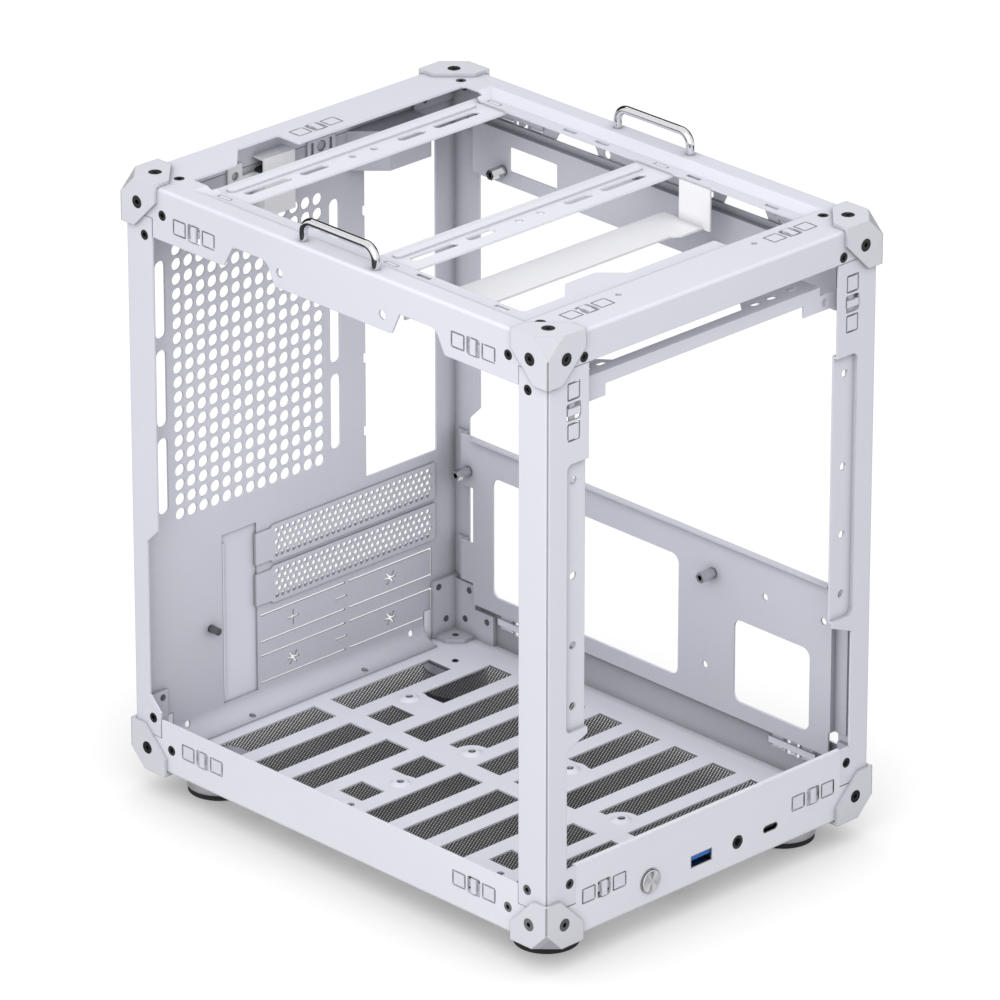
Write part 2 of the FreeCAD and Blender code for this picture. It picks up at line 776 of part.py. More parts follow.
def front_post():
    """Front left post: an angle with a recessed drive strip down its front leg."""
    bottom = low + tray_corner + fit
    top = rail_low - fit
    outer = box(-side, -side + post_leg_front, -end, -end + post_leg_side, bottom, top)
    outer = folded(outer, lambda mid, edge: abs(mid.x + side) < 1e-6 and abs(mid.y + end) < 1e-6)
    inner = box(-side + sheet, -side + post_leg_front + 1, -end + sheet, -end + post_leg_side + 1,
                bottom - 1, top + 1)
    post = outer.cut(inner)
    free = -side + post_leg_front
    cut_top = low + post_lower_height
    lower = [(free + 1, bottom - 1), (free + 1, cut_top), (free, cut_top),
             (-side + post_lower_front, cut_top - 5), (-side + post_lower_front, bottom - 1)]
    post = post.cut(plate_y(lower, -end - 5, -end + sheet + 0.1))
    tray_edge = [(-tray_front_half - fit, bottom - 1), (-tray_front_half - fit, low + tray_front + fit),
                 (free + 1, low + tray_front + fit), (free + 1, bottom - 1)]
    post = post.cut(plate_y(tray_edge, -end - 5, -end + sheet + 0.1))
    x0 = free - strip_width
    z0 = low + strip_bottom
    z1 = low + strip_top
    recess = plate_y(rectangle(x0, free + 9, z0, z1), -end - 5, -end + strip_depth, [3, 0.1, 0.1, 3])
    shell = plate_y(rectangle(x0 - sheet, free, z0 - sheet, z1 + sheet), -end, -end + strip_depth + sheet,
                    [4, 0.1, 0.1, 4])
    post = fuse_all([post, shell]).cut(recess)
    hole_x = free - strip_width / 2 - strip_hole_shift
    holes = [Part.makeCylinder(strip_hole_radius, 10, V(hole_x, -end - 2, low + z), V(0, 1, 0))
             for z in strip_holes]
    return post.cut(holes).cut(catch_openings()).cut(all_corner_holes())


def rear_wall():
    """Folded wall of the rear panel with its two side flanges, before the openings."""
    bottom = low + tray_corner + fit
    top = rail_low - fit
    outer = box(-side, side, end - rear_flange, end, bottom, top)
    outer = folded(outer, lambda mid, edge: abs(abs(mid.x) - side) < 1e-6 and abs(mid.y - end) < 1e-6)
    skin = side - sheet
    wall = outer.cut(box(-skin, skin, end - rear_flange - 1, end - sheet, bottom - 1, top + 1))
    y0 = end - rear_flange - 1
    y1 = end - rear_flange_narrow
    z0 = low + rear_narrow_bottom
    z1 = low + rear_narrow_top
    c = rear_chamfer
    narrow = [(y0, z0 - 1), (y0 + 1, z0), (y1, z0 + c), (y1, z1 - c), (y0 + 1, z1), (y0, z1 + 1)]
    wall = wall.cut(plate_x(narrow, -side - 5, side + 5))
    r = rear_lip_bend
    half = rear_lip_half
    y_in = end - sheet
    bend_top = floor_top + sheet + r
    bend = [V(0, end, bottom), V(0, end, bend_top), V(0, y_in, bend_top), V(0, y_in, bottom)]
    centre = V(0, y_in - r, bend_top)
    diag = math.sqrt(0.5)
    outer_arc = Part.Arc(V(0, end, centre.z), centre + V(0, (r + sheet) * diag, -(r + sheet) * diag),
                         V(0, centre.y, floor_top))
    inner_arc = Part.Arc(V(0, centre.y, floor_top + sheet), centre + V(0, r * diag, -r * diag),
                         V(0, y_in, centre.z))
    lip_end = end - rear_lip
    edges = [Part.makeLine(V(0, end, bottom + 1), bend[1]), outer_arc.toShape(),
             Part.makeLine(V(0, centre.y, floor_top), V(0, lip_end, floor_top)),
             Part.makeLine(V(0, lip_end, floor_top), V(0, lip_end, floor_top + sheet)),
             Part.makeLine(V(0, lip_end, floor_top + sheet), V(0, centre.y, floor_top + sheet)),
             inner_arc.toShape(), Part.makeLine(bend[2], V(0, y_in, bottom + 1)),
             Part.makeLine(V(0, y_in, bottom + 1), V(0, end, bottom + 1))]
    lip = Part.Face(Part.Wire(edges)).extrude(V(2 * half, 0, 0))
    lip.translate(V(-half, 0, 0))
    return fuse_all([wall, lip])


def hexagon(x, z, radius):
    """Corners of a hexagon standing on a point."""
    turns = [k * math.pi / 3 for k in range(6)]
    return [(x + radius * math.sin(turn), z + radius * math.cos(turn)) for turn in turns]


def grille_cuts():
    """The grid of fan holes and the six fan slots of the rear panel."""
    cx, cz = grille_centre
    cz += foot_height
    cuts = []
    for i in range(grille_columns):
        for j in range(grille_rows):
            x = cx + (i - (grille_columns - 1) / 2) * grille_pitch
            z = cz + (j - (grille_rows - 1) / 2) * grille_pitch
            cuts.append(plate_y(hexagon(x, z, grille_hole_radius * 1.05), end - sheet - 1, end + 1))
    for sx in (-1, 1):
        for k in (-1, 0, 1):
            x = cx + sx * fan_pitch / 2
            z = cz + k * fan_slot_step
            points = rectangle(x - fan_slot_width / 2, x + fan_slot_width / 2,
                               z - fan_slot_length / 2, z + fan_slot_length / 2)
            cuts.append(plate_y(points, end - sheet - 1, end + 1, fan_slot_width / 2 - 0.01))
    return cuts


def punch_mark(x, z, kind):
    """Screwdriver slots punched in a knock-out: upright cross, single slot or a star."""
    bars = {"plus": (0, 90), "minus": (0,), "star": (0, 55, 125)}[kind]
    marks = []
    for turn in bars:
        bar = plate_y(rectangle(x - mark_arm, x + mark_arm, z - mark_width / 2, z + mark_width / 2),
                      end - sheet - 1, end + 1)
        bar.rotate(V(x, 0, z), V(0, 1, 0), turn)
        marks.append(bar)
    return marks[0].multiFuse(marks[1:]) if len(marks) > 1 else marks[0]


def slot_level(index):
    """Upper edge of an expansion slot, counted from the top one."""
    return foot_height + slot_top - index * slot_pitch


def rear_slot_cuts():
    """Openings behind the two covers, the knock-out grooves and their punched marks."""
    y0 = end - sheet - 1
    y1 = end + 1
    cuts = []
    for index in (0, 1):
        top = slot_level(index) - (slot_pitch - slot_opening) / 2
        cuts.append(plate_y(rectangle(slot_left + cover_lap, slot_right, top - slot_opening, top), y0, y1))
    for index in (2, 3):
        top = slot_level(index) - (slot_pitch - slot_opening) / 2 + 0.6
        bottom = top - slot_opening - 1.2
        g = slot_groove
        middle = (slot_left + slot_right) / 2
        for x0, x1 in ((slot_left, middle - 1.2), (middle + 1.2, slot_right)):
            cuts.append(box(x0, x1, y0, y1, top - g, top))
            cuts.append(box(x0, x1, y0, y1, bottom, bottom + g))
        cuts.append(box(slot_right - g, slot_right, y0, y1, bottom, top))
        kinds = ("plus", "minus", "star") if index == 2 else ("star", "minus", "star")
        for x, kind in zip(mark_columns, kinds):
            cuts.append(punch_mark(x, (top + bottom) / 2, kind))
    x0, x1, z0, z1 = retainer_gap
    cuts.append(box(x0, x1, y0, y1, foot_height + z0, foot_height + z1))
    return cuts


def lip_holes():
    """The two holes that go down through the wall's lip and the floor under it."""
    x, inset = rear_lip_holes
    places = [V(sx * x, end - inset, low - 2) for sx in (-1, 1)]
    return Part.makeCompound([Part.makeCylinder(lip_hole_radius, 8, place) for place in places])


def rear_panel():
    """Rear panel: folded wall with the fan grille, port opening and expansion slots."""
    wall = rear_wall()
    y0 = end - sheet - 1
    y1 = end + 1
    cuts = grille_cuts() + rear_slot_cuts()
    z0 = foot_height + io_bottom
    cuts.append(plate_y(rectangle(io_left, io_left + io_width, z0, z0 + io_height), y0, y1, 1.0))
    deep, tall = shield_notch
    for k in range(4):
        notch = z0 + tall + shield_notch_step * (k + 0.5)
        cuts.append(box(io_left - deep, io_left + 1, y0, y1, notch - tall / 2, notch + tall / 2))
    cuts.append(lip_holes())
    x, z = rear_low_holes
    for sx in (-1, 1):
        cuts.append(Part.makeCylinder(lip_hole_radius, 8, V(sx * x, end - 6, foot_height + z), V(0, 1, 0)))
    x, z = inlet_centre
    width, height = inlet_bore
    cuts.append(plate_y(rectangle(x - width / 2, x + width / 2, foot_height + z - height / 2,
                                  foot_height + z + height / 2), y0, y1, 1.5))
    x, z = retainer_hole
    cuts.append(Part.makeCylinder(retainer_screw_radius, 6, V(x, end - 3, foot_height + z), V(0, 1, 0)))
    return wall.cut(Part.makeCompound(cuts)).cut(all_corner_holes())


def slot_cover(index):
    """Vented expansion slot cover: a shouldered blank, its end bent out through the wall."""
    top = slot_level(index) - (slot_pitch - cover_width) / 2
    bottom = top - cover_width
    y1 = end - sheet
    y0 = y1 - cover_thickness
    x0 = retainer_gap[1] - fit - cover_thickness
    x1 = slot_right + cover_overlap
    low_step = bottom + cover_shoulder
    high_step = top - cover_shoulder
    wide = cover_neck + cover_shoulder
    points = [(x0, low_step), (cover_neck, low_step), (wide, bottom), (x1, bottom), (x1, top), (wide, top),
              (cover_neck, high_step), (x0, high_step)]
    blank = plate_y(points, y0, y1, [0, 0.5, 0.5, 1, 1, 0.5, 0.5, 0])
    tab = box(x0, x0 + cover_thickness, y0, end - fit, low_step, high_step)
    return fuse_all([blank, tab])


def slot_retainer():
    """Plate outside the rear wall that covers the screw ends of the slot covers."""
    x0, x1, z0, z1 = retainer_gap
    bottom = foot_height + retainer_bottom
    outline_points = rectangle(retainer_left, x1 + 1.0, bottom, bottom + retainer_height)
    plate = plate_y(outline_points, end, end + retainer_sheet, 2.0)
    lip = box(x0 + 0.2, x0 + 1.2, end - sheet, end + 0.1, foot_height + z0 + 4, foot_height + z1 - 4)
    x, z = retainer_hole
    hole = Part.makeCylinder(retainer_screw_radius, 6, V(x, end - 2, foot_height + z), V(0, 1, 0))
    return fuse_all([plate, lip]).cut(hole)


def retainer_screw():
    """Long screw through the retainer and the rear wall, its end standing inside."""
    x, z = retainer_hole
    start = V(x, end + retainer_sheet, foot_height + z)
    head = Part.makeCylinder(2.8, 0.6, start, V(0, 1, 0))
    shank = Part.makeCylinder(retainer_screw_radius, retainer_screw_length, start, V(0, -1, 0))
    return head.fuse(shank).removeSplitter()


def board_tray():
    """Lower motherboard tray: a pressed plate with two windows, hooked at the rear."""
    z0 = foot_height + plate_bottom
    z1 = foot_height + plate_top
    skin = side - sheet
    pieces = [box(tray_x, tray_x + sheet, plate_front, plate_rear, z0, z1),
              box(tray_x - plate_hem + sheet, tray_x + sheet, plate_front, plate_rear, z1 - sheet, z1)]
    turn = plate_rear + plate_tab
    reach = end - rear_flange_narrow + 6
    for a, b in ((upper_tab_bottom, plate_top), lower_tab):
        bottom = foot_height + a
        top = foot_height + b
        pieces.append(box(tray_x, tray_x + sheet, plate_rear, turn, bottom, top))
        pieces.append(box(tray_x, skin, turn - sheet, turn, bottom, top))
        pieces.append(box(skin - sheet, skin, turn - sheet, reach, bottom, top))
    pieces.append(box(tray_x, skin, -plate_foot_half, plate_foot_half, z0, z0 + sheet))
    foot_z = z0 - plate_foot_drop
    pieces.append(box(skin - sheet, skin, -plate_foot_half, plate_foot_half, foot_z, z0 + sheet))
    front_z = z0 + front_tab_rise
    pieces.append(box(tray_x, skin, plate_front - sheet, plate_front, front_z, z1))
    pieces.append(box(skin - sheet, skin, plate_front - plate_tab, plate_front, front_z, z1))
    plate = fuse_all(pieces)
    cuts = []
    for y0, y1, a, b in (window_one, window_two):
        cuts.append(plate_x(rectangle(y0, y1, foot_height + a, foot_height + b), tray_x - 1, tray_x + 1.5,
                            window_radius))
    for y, z in plate_holes:
        cuts.append(Part.makeCylinder(plate_hole_radius, 4, V(tray_x - 1, y, foot_height + z), V(1, 0, 0)))
    return plate.cut(cuts)


def upper_strip():
    """Upper motherboard strip, hung behind the right side of the top frame."""
    z0 = foot_height + strip_low
    z1 = foot_height + strip_high
    skin = side - sheet
    strip = fuse_all([box(tray_x, tray_x + sheet, plate_front, plate_rear, z0, z1),
                      box(tray_x, skin, plate_front, plate_rear, z1 - sheet, z1),
                      box(skin - sheet, skin, plate_front, plate_rear, z1 - sheet, z1 + strip_lap)])
    y0, y1, a, b = strip_window
    window = plate_x(rectangle(y0, y1, foot_height + a, foot_height + b), tray_x - 1, tray_x + 1.5, 1.0)
    return strip.cut(window)


def standoff_places():
    """Stand-offs of the board: rear, front, upper rear and upper front, as (y, z)."""
    y, z = board_origin
    z += foot_height
    front = y - board_column
    return [(y - board_offset, z + board_row), (front, z + board_row), (front, z), (y, z)]


def standoffs():
    """Hexagonal stand-offs screwed to the tray, each with a threaded bore."""
    pillars = []
    for y, z in standoff_places():
        corners = []
        for k in range(6):
            turn = k * math.pi / 3
            corners.append((y + standoff_radius * math.cos(turn), z + standoff_radius * math.sin(turn)))
        pillar = plate_x(corners, tray_x - standoff_length, tray_x)
        pillars.append(pillar.cut(Part.makeCylinder(standoff_bore, standoff_length - 1.5,
                                                    V(tray_x - standoff_length, y, z), V(1, 0, 0))))
    return Part.makeCompound(pillars)


def fan_bracket(centre):
    """Cross bracket for a fan: a slotted strap hooked up through the ledge slots."""
    top = ledge_top - sheet
    half = opening_half + 5.0
    y0 = centre - bracket_width / 2
    y1 = centre + bracket_width / 2
    strap = plate_z(rectangle(-half, half, y0, y1), top - sheet, top, 1.5)
    points, radius = slot(0, centre + 4.8, 2 * opening_half - 8, bracket_bead)
    bead = plate_z(points, top - 0.1, top + bracket_bead_height, radius)
    hooks = []
    for sx in (-1, 1):
        x = sx * (opening_half + 3.2)
        hooks.append(box(x - 0.8, x + 0.8, centre - 4.4, centre + 2.4, top - 0.1, ledge_top))
    strap = fuse_all([strap, bead] + hooks)
    line = centre + bracket_line
    cuts = []
    for sx in (-1, 1):
        for distance, length in ((long_slot_centre, long_slot), (short_slot_centre, short_slot)):
            points, radius = slot(sx * distance, line, length, slot_width)
            cuts.append(plate_z(points, top - 3, top + 3, radius))
        cuts.append(Part.makeCylinder(middle_hole_radius, 6, V(sx * middle_hole_spacing / 2, line, top - 3)))
    return strap.cut(cuts)


def supply_channel():
    """Wide dropped cross channel for the power supply, hung from the ledges."""
    top = ledge_top - sheet
    floor = high - channel_drop
    y0 = channel_centre - channel_width / 2
    y1 = channel_centre + channel_width / 2
    h0 = channel_hook_centre - channel_hook_width / 2
    h1 = channel_hook_centre + channel_hook_width / 2
    x = opening_half
    pieces = [box(-x, x, h0, y1, floor - sheet, floor), box(-x, x, y1 - sheet, y1, floor - 6, floor)]
    for sx in (-1, 1):
        wall = sorted((sx * x, sx * (x - sheet)))
        foot = sorted((sx * (x - sheet), sx * (x + 5)))
        pieces.append(box(wall[0], wall[1], h0, h1, floor - sheet, top))
        pieces.append(box(foot[0], foot[1], h0, h1, top - sheet, top))
    channel = fuse_all(pieces)
    fold = [edge for edge in channel.Edges if edge.Length > x and abs(edge.CenterOfMass.z - floor) < 1e-6
            and abs(edge.CenterOfMass.y - y1) < 1e-6]
    channel = channel.makeFillet(0.9, fold)
    corner = plate_z([(-x - 1, h0 - 1), (x + 1, h0 - 1), (x + 1, y0), (x - 14, y0), (x - 18, y0 + 3),
                      (-x + 18, y0 + 3), (-x + 14, y0), (-x - 1, y0)], floor - sheet - 0.1, floor + 0.1)
    keep = box(-x + sheet, x - sheet, h0 - 1, y1 + 1, floor - 2, floor + 1)
    return channel.cut(corner.common(keep))


def front_channel():
    """Cross channel behind the front rail, fixed to the insides of the two posts."""
    top = high - front_channel_drop
    y0 = -end + front_channel_inset
    y1 = y0 + front_channel_depth
    half = front_channel_half
    narrow = y0 + front_channel_narrow
    a, b = front_channel_wide
    web = plate_z([(-half, y0), (half, y0), (half, y1), (b + 6, y1), (b, narrow), (a, narrow), (a - 6, y1),
                   (-half, y1)], top - sheet, top)
    face = plate_y([(-half, top), (-half, top - front_channel_face), (half - 6, top - front_channel_face),
                    (half, top - 3), (half, top)], y0, y0 + sheet)
    pieces = [web, face]
    low_tab, high_tab = front_channel_tab
    skin = side - sheet
    for sx in (-1, 1):
        tab = sorted((sx * (half - 2), sx * skin))
        flap = sorted((sx * (skin - sheet), sx * skin))
        z0 = top - high_tab
        z1 = top - low_tab
        pieces.append(box(tab[0], tab[1], y0, y0 + sheet, z0, z1))
        pieces.append(box(flap[0], flap[1], y0, -end + post_leg_side, z0, z1))
        stub = sorted((sx * (half - 10), sx * half))
        pieces.append(box(stub[0], stub[1], y0, y0 + sheet, z0, top))
    channel = fuse_all(pieces)
    holes = []
    for x in channel_slots:
        points, radius = slot(x, y0 + channel_slot_inset, *channel_slot)
        holes.append(plate_z(points, top - 3, top + 1, radius))
    for sx in (-1, 1):
        place = V(sx * channel_hole_x, y0 - 1, top - high_tab + channel_hole_rise)
        holes.append(Part.makeCylinder(hole_radius, 4, place, V(0, 1, 0)))
    return channel.cut(holes)


def handle():
    """Left handle: a round bar bent to a flat arch, standing on the left rail."""
    x = -side + handle_inset
    half = handle_span / 2
    r = handle_bend
    top = high + handle_rise - handle_rod
    diag = math.sqrt(0.5)
    centre_a = V(x, -half + r, top - r)
    centre_b = V(x, half - r, top - r)
    edges = [Part.makeLine(V(x, -half, high), V(x, -half, top - r)),
             Part.Arc(V(x, -half, top - r), centre_a + V(0, -r * diag, r * diag),
                      V(x, -half + r, top)).toShape(),
             Part.makeLine(V(x, -half + r, top), V(x, half - r, top)),
             Part.Arc(V(x, half - r, top), centre_b + V(0, r * diag, r * diag),
                      V(x, half, top - r)).toShape(),
             Part.makeLine(V(x, half, top - r), V(x, half, high))]
    path = Part.Wire(edges)
    section = Part.Wire(Part.Circle(V(x, -half, high), V(0, 0, 1), handle_rod).toShape())
    bar = path.makePipeShell([section], True, False)
    return bar


def handle_screws():
    """Screws from below into the legs of both handles."""
    screws = []
    for sx in (-1, 1):
        for y in (-handle_span / 2, handle_span / 2):
            head = Part.makeCylinder(2.4, 1.6, V(sx * (side - handle_inset), y, high - sheet - 1.6))
            shank = Part.makeCylinder(screw_radius, sheet, V(sx * (side - handle_inset), y, high - sheet))
            screws.append(head.fuse(shank).removeSplitter())
    return Part.makeCompound(screws)


def foot_body(x, y):
    """Turned foot: a metal cup with a rounded rim, bored for its screw."""
    height = low - pad_height
    body = Part.makeCylinder(foot_radius, height, V(x, y, pad_height))
    body = body.makeFillet(1.2, [edge for edge in body.Edges if edge.Length > 60
                                 and abs(edge.CenterOfMass.z - low) > 1])
    seat = Part.makeCylinder(foot_radius - 2.5, 1.0, V(x, y, pad_height))
    bore = Part.makeCylinder(screw_radius, height, V(x, y, pad_height + 2))
    return body.cut([seat, bore])


def foot_pad(x, y):
    """Rubber pad under a foot, with a plug let into its underside."""
    sole = Part.makeCylinder(foot_radius - pad_inset, pad_height, V(x, y, 0))
    plug = Part.makeCylinder(foot_radius - 2.6, pad_height + 1.0, V(x, y, 0))
    return sole.fuse(plug).removeSplitter()


def foot_screws():
    """Set screws down through the tapped floor into the feet, with six-sided sockets."""
    screws = []
    for x, y in foot_positions:
        top = floor_top + foot_screw_stand
        shank = Part.makeCylinder(screw_radius, foot_screw_length, V(x, y, top - foot_screw_length))
        corners = []
        for k in range(7):
            turn = k * math.pi / 3
            corners.append(V(x + socket_radius * math.cos(turn), y + socket_radius * math.sin(turn),
                             top - screw_head_depth))
        socket = Part.Face(Part.makePolygon(corners)).extrude(V(0, 0, 2 * screw_head_depth))
        screws.append(shank.cut(socket))
    return Part.makeCompound(screws)


def dust_filter():
    """Thin dust filter flat under the tray floor, cut out square around the feet."""
    m = filter_margin
    sheet_outline = box(-side + m, side - m, -end + m, end - m, low - filter_thickness, low)
    notches = []
    for x, y in foot_positions:
        reach = foot_radius + fit
        inner = sorted((x - math.copysign(reach, x), math.copysign(side, x)))
        outer = sorted((y - math.copysign(reach, y), math.copysign(end, y)))
        notches.append(box(inner[0], inner[1], outer[0], outer[1], low - 2, low + 1))
    return sheet_outline.cut(notches)


def power_button():
    """Power button cap: a turned disc on a short plunger."""
    z = low + control_height
    cap = Part.makeCylinder(button_radius, button_stand + sheet + 1.2, V(button_x, -end - button_stand, z),
                            V(0, 1, 0))
    rim = [edge for edge in cap.Edges if abs(edge.CenterOfMass.y + end + button_stand) < 1e-6]
    cap = cap.makeFillet(0.5, rim)
    plunger = Part.makeCylinder(1.6, 3.0, V(button_x, -end + sheet + 1.2, z), V(0, 1, 0))
    return cap.fuse(plunger).removeSplitter()


def button_bezel():
    """Thin ring that lines the button's hole, with a flange inside the panel."""
    z = low + control_height
    inner = button_radius + button_gap
    ring = Part.makeCylinder(inner + bezel_wall, sheet + 0.4, V(button_x, -end - 0.4, z), V(0, 1, 0))
    flange = Part.makeCylinder(inner + 2.2, 1.0, V(button_x, -end + sheet, z), V(0, 1, 0))
    bore = Part.makeCylinder(inner, 6, V(button_x, -end - 2, z), V(0, 1, 0))
    return fuse_all([ring, flange]).cut(bore)


def button_switch():
    """Switch housing behind the button, a cup that the plunger works in."""
    z = low + control_height
    half = switch_size / 2
    y0 = -end + sheet + 1.0
    body = box(button_x - half, button_x + half, y0, y0 + switch_depth, z - half, z + half)
    well = Part.makeCylinder(button_radius + button_gap, 1.2 + button_travel, V(button_x, y0, z), V(0, 1, 0))
    bore = Part.makeCylinder(1.6 + button_gap, 5.2, V(button_x, y0, z), V(0, 1, 0))
    return body.cut([well, bore])


def usb_a_shell():
    """Steel shell of the large port."""
    z = low + control_height
    width, height = usb_a_size
    outer = plate_y(rectangle(usb_a_x - width / 2, usb_a_x + width / 2, z - height / 2, z + height / 2),
                    -end + 0.1, -end + port_depth, 0.3)
    w = port_wall
    inner = plate_y(rectangle(usb_a_x - width / 2 + w, usb_a_x + width / 2 - w, z - height / 2 + w,
                              z + height / 2 - w), -end - 1, -end + port_depth - 1)
    return outer.cut(inner)


def usb_a_tongue():
    """Plastic tongue inside the large port."""
    z = low + control_height
    width, height = usb_a_size
    w = port_wall
    return box(usb_a_x - width / 2 + w, usb_a_x + width / 2 - w, -end + 1.0, -end + port_depth - 1,
               z + 0.2, z + height / 2 - w)


def audio_jack():
    """Audio socket: a round nose on a square body."""
    z = low + control_height
    nose = Part.makeCylinder(jack_radius, sheet, V(jack_x, -end, z), V(0, 1, 0))
    body = box(jack_x - 4, jack_x + 4, -end + sheet, -end + port_depth - 1, z - 3.4, z + 3.4)
    bore = Part.makeCylinder(1.85, port_depth - 3, V(jack_x, -end - 1, z), V(0, 1, 0))
    return fuse_all([nose, body]).cut(bore)


def usb_c_shell():
    """Steel shell of the small port, with round ends."""
    z = low + control_height
    width, height = usb_c_size
    points, radius = slot(usb_c_x, z, width, height)
    outer = plate_y(points, -end + 0.1, -end + port_depth - 4, radius)
    points, radius = slot(usb_c_x, z, width - 2 * port_wall, height - 2 * port_wall)
    return outer.cut(plate_y(points, -end - 1, -end + port_depth - 5, radius))


def usb_c_tongue():
    """Thin middle tongue of the small port."""
    z = low + control_height
    return box(usb_c_x - 3.2, usb_c_x + 3.2, -end + 1.2, -end + port_depth - 5, z - 0.35, z + 0.35)


def port_board():
    """Circuit board under the ports."""
    z = low + control_height
    middle = (usb_a_x + usb_c_x) / 2
    bottom = z - usb_a_size[1] / 2 - board_thickness - 0.45
    length, depth = board_size
    x0 = middle - length / 2 + board_left_inset
    x1 = middle + length / 2 - board_right_inset
    y0 = -end + sheet + 2 * fit
    return box(x0, x1, y0, y0 + depth, bottom, bottom + board_thickness)


def board_posts():
    """Posts that lift the port board off the floor and carry the small parts on it."""
    z = low + control_height
    middle = (usb_a_x + usb_c_x) / 2
    bottom = z - usb_a_size[1] / 2 - board_thickness - 0.45
    posts = []
    for x in (middle - 24, middle + 28):
        posts.append(Part.makeCylinder(2.4, bottom - floor_top, V(x, -end + 14, floor_top)))
    return Part.makeCompound(posts)


def top_stiffener():
    """Folded stiffener over the top of the port opening, with its left corner bevelled."""
    x0, x1, x2 = stiffener_plan
    z0 = foot_height + stiffener_bottom
    z1 = foot_height + stiffener_top
    y1 = end - sheet
    y0 = y1 - stiffener_depth
    s = sheet
    outer = plate_z([(x0, y1), (x1, y0), (x2, y0), (x2, y1)], z0, z1)
    inner = plate_z([(x0 + 1.4 * s, y1 + 1), (x0 + 1.4 * s, y1), (x1 + 0.4 * s, y0 + s), (x2 - s, y0 + s),
                     (x2 - s, y1 + 1)], z0 - 1, z1 - s)
    return outer.cut(inner)


def inlet_socket():
    """Power inlet set in the rear wall: a deep socket with three flat pins."""
    x, z = inlet_centre
    z += foot_height
    half_width = inlet_bore[0] / 2
    half_height = inlet_bore[1] / 2
    wall = inlet_wall
    body = plate_y(rectangle(x - half_width, x + half_width, z - half_height, z + half_height),
                   end - sheet - inlet_depth, end + 2 * fit, wall)
    well = plate_y(rectangle(x - half_width + wall, x + half_width - wall,
                             z - half_height + wall, z + half_height - wall),
                   end - inlet_depth + sheet, end + 1, wall)
    pins = []
    half_pin, half_blade = inlet_pin
    for k in (-1, 0, 1):
        pin_z = z + k * inlet_pin_step
        pins.append(box(x - half_pin, x + half_pin, end - inlet_depth + 0.9, end - 2,
                        pin_z - half_blade, pin_z + half_blade))
    return fuse_all([body.cut(well)] + pins)


def inlet_housing():
    """Folded cover over the back of the power inlet, open at its left, with a fixing ear."""
    x, z = inlet_centre
    wide, tall, deep = housing_size
    z1 = foot_height + housing_top
    z0 = z1 - tall
    y1 = end - sheet
    outer = box(x - wide / 2, x + wide / 2, y1 - deep, y1, z0, z1)
    inner = box(x - wide / 2 + sheet, x + wide / 2 - sheet, y1 - deep + sheet, y1 + 1, z0 - 1, z1 - sheet)
    left = x - wide / 2
    neck = foot_height + housing_neck
    window = box(left - 1, left + sheet, y1 - deep + sheet, y1 + 1, neck, z1 - sheet)
    a, b, c, d = housing_ear
    ear = plate_y(rectangle(a, b, foot_height + c, foot_height + d), y1 - sheet, y1, 1.2)
    strip = box(b - 2, left + sheet, y1 - sheet, y1, foot_height + c, neck)
    middle = V((a + b) / 2, y1 - 3, foot_height + (c + d) / 2)
    hole = Part.makeCylinder(housing_ear_hole, 6, middle, V(0, 1, 0))
    return fuse_all([outer.cut(inner).cut(window), ear, strip]).cut(hole)


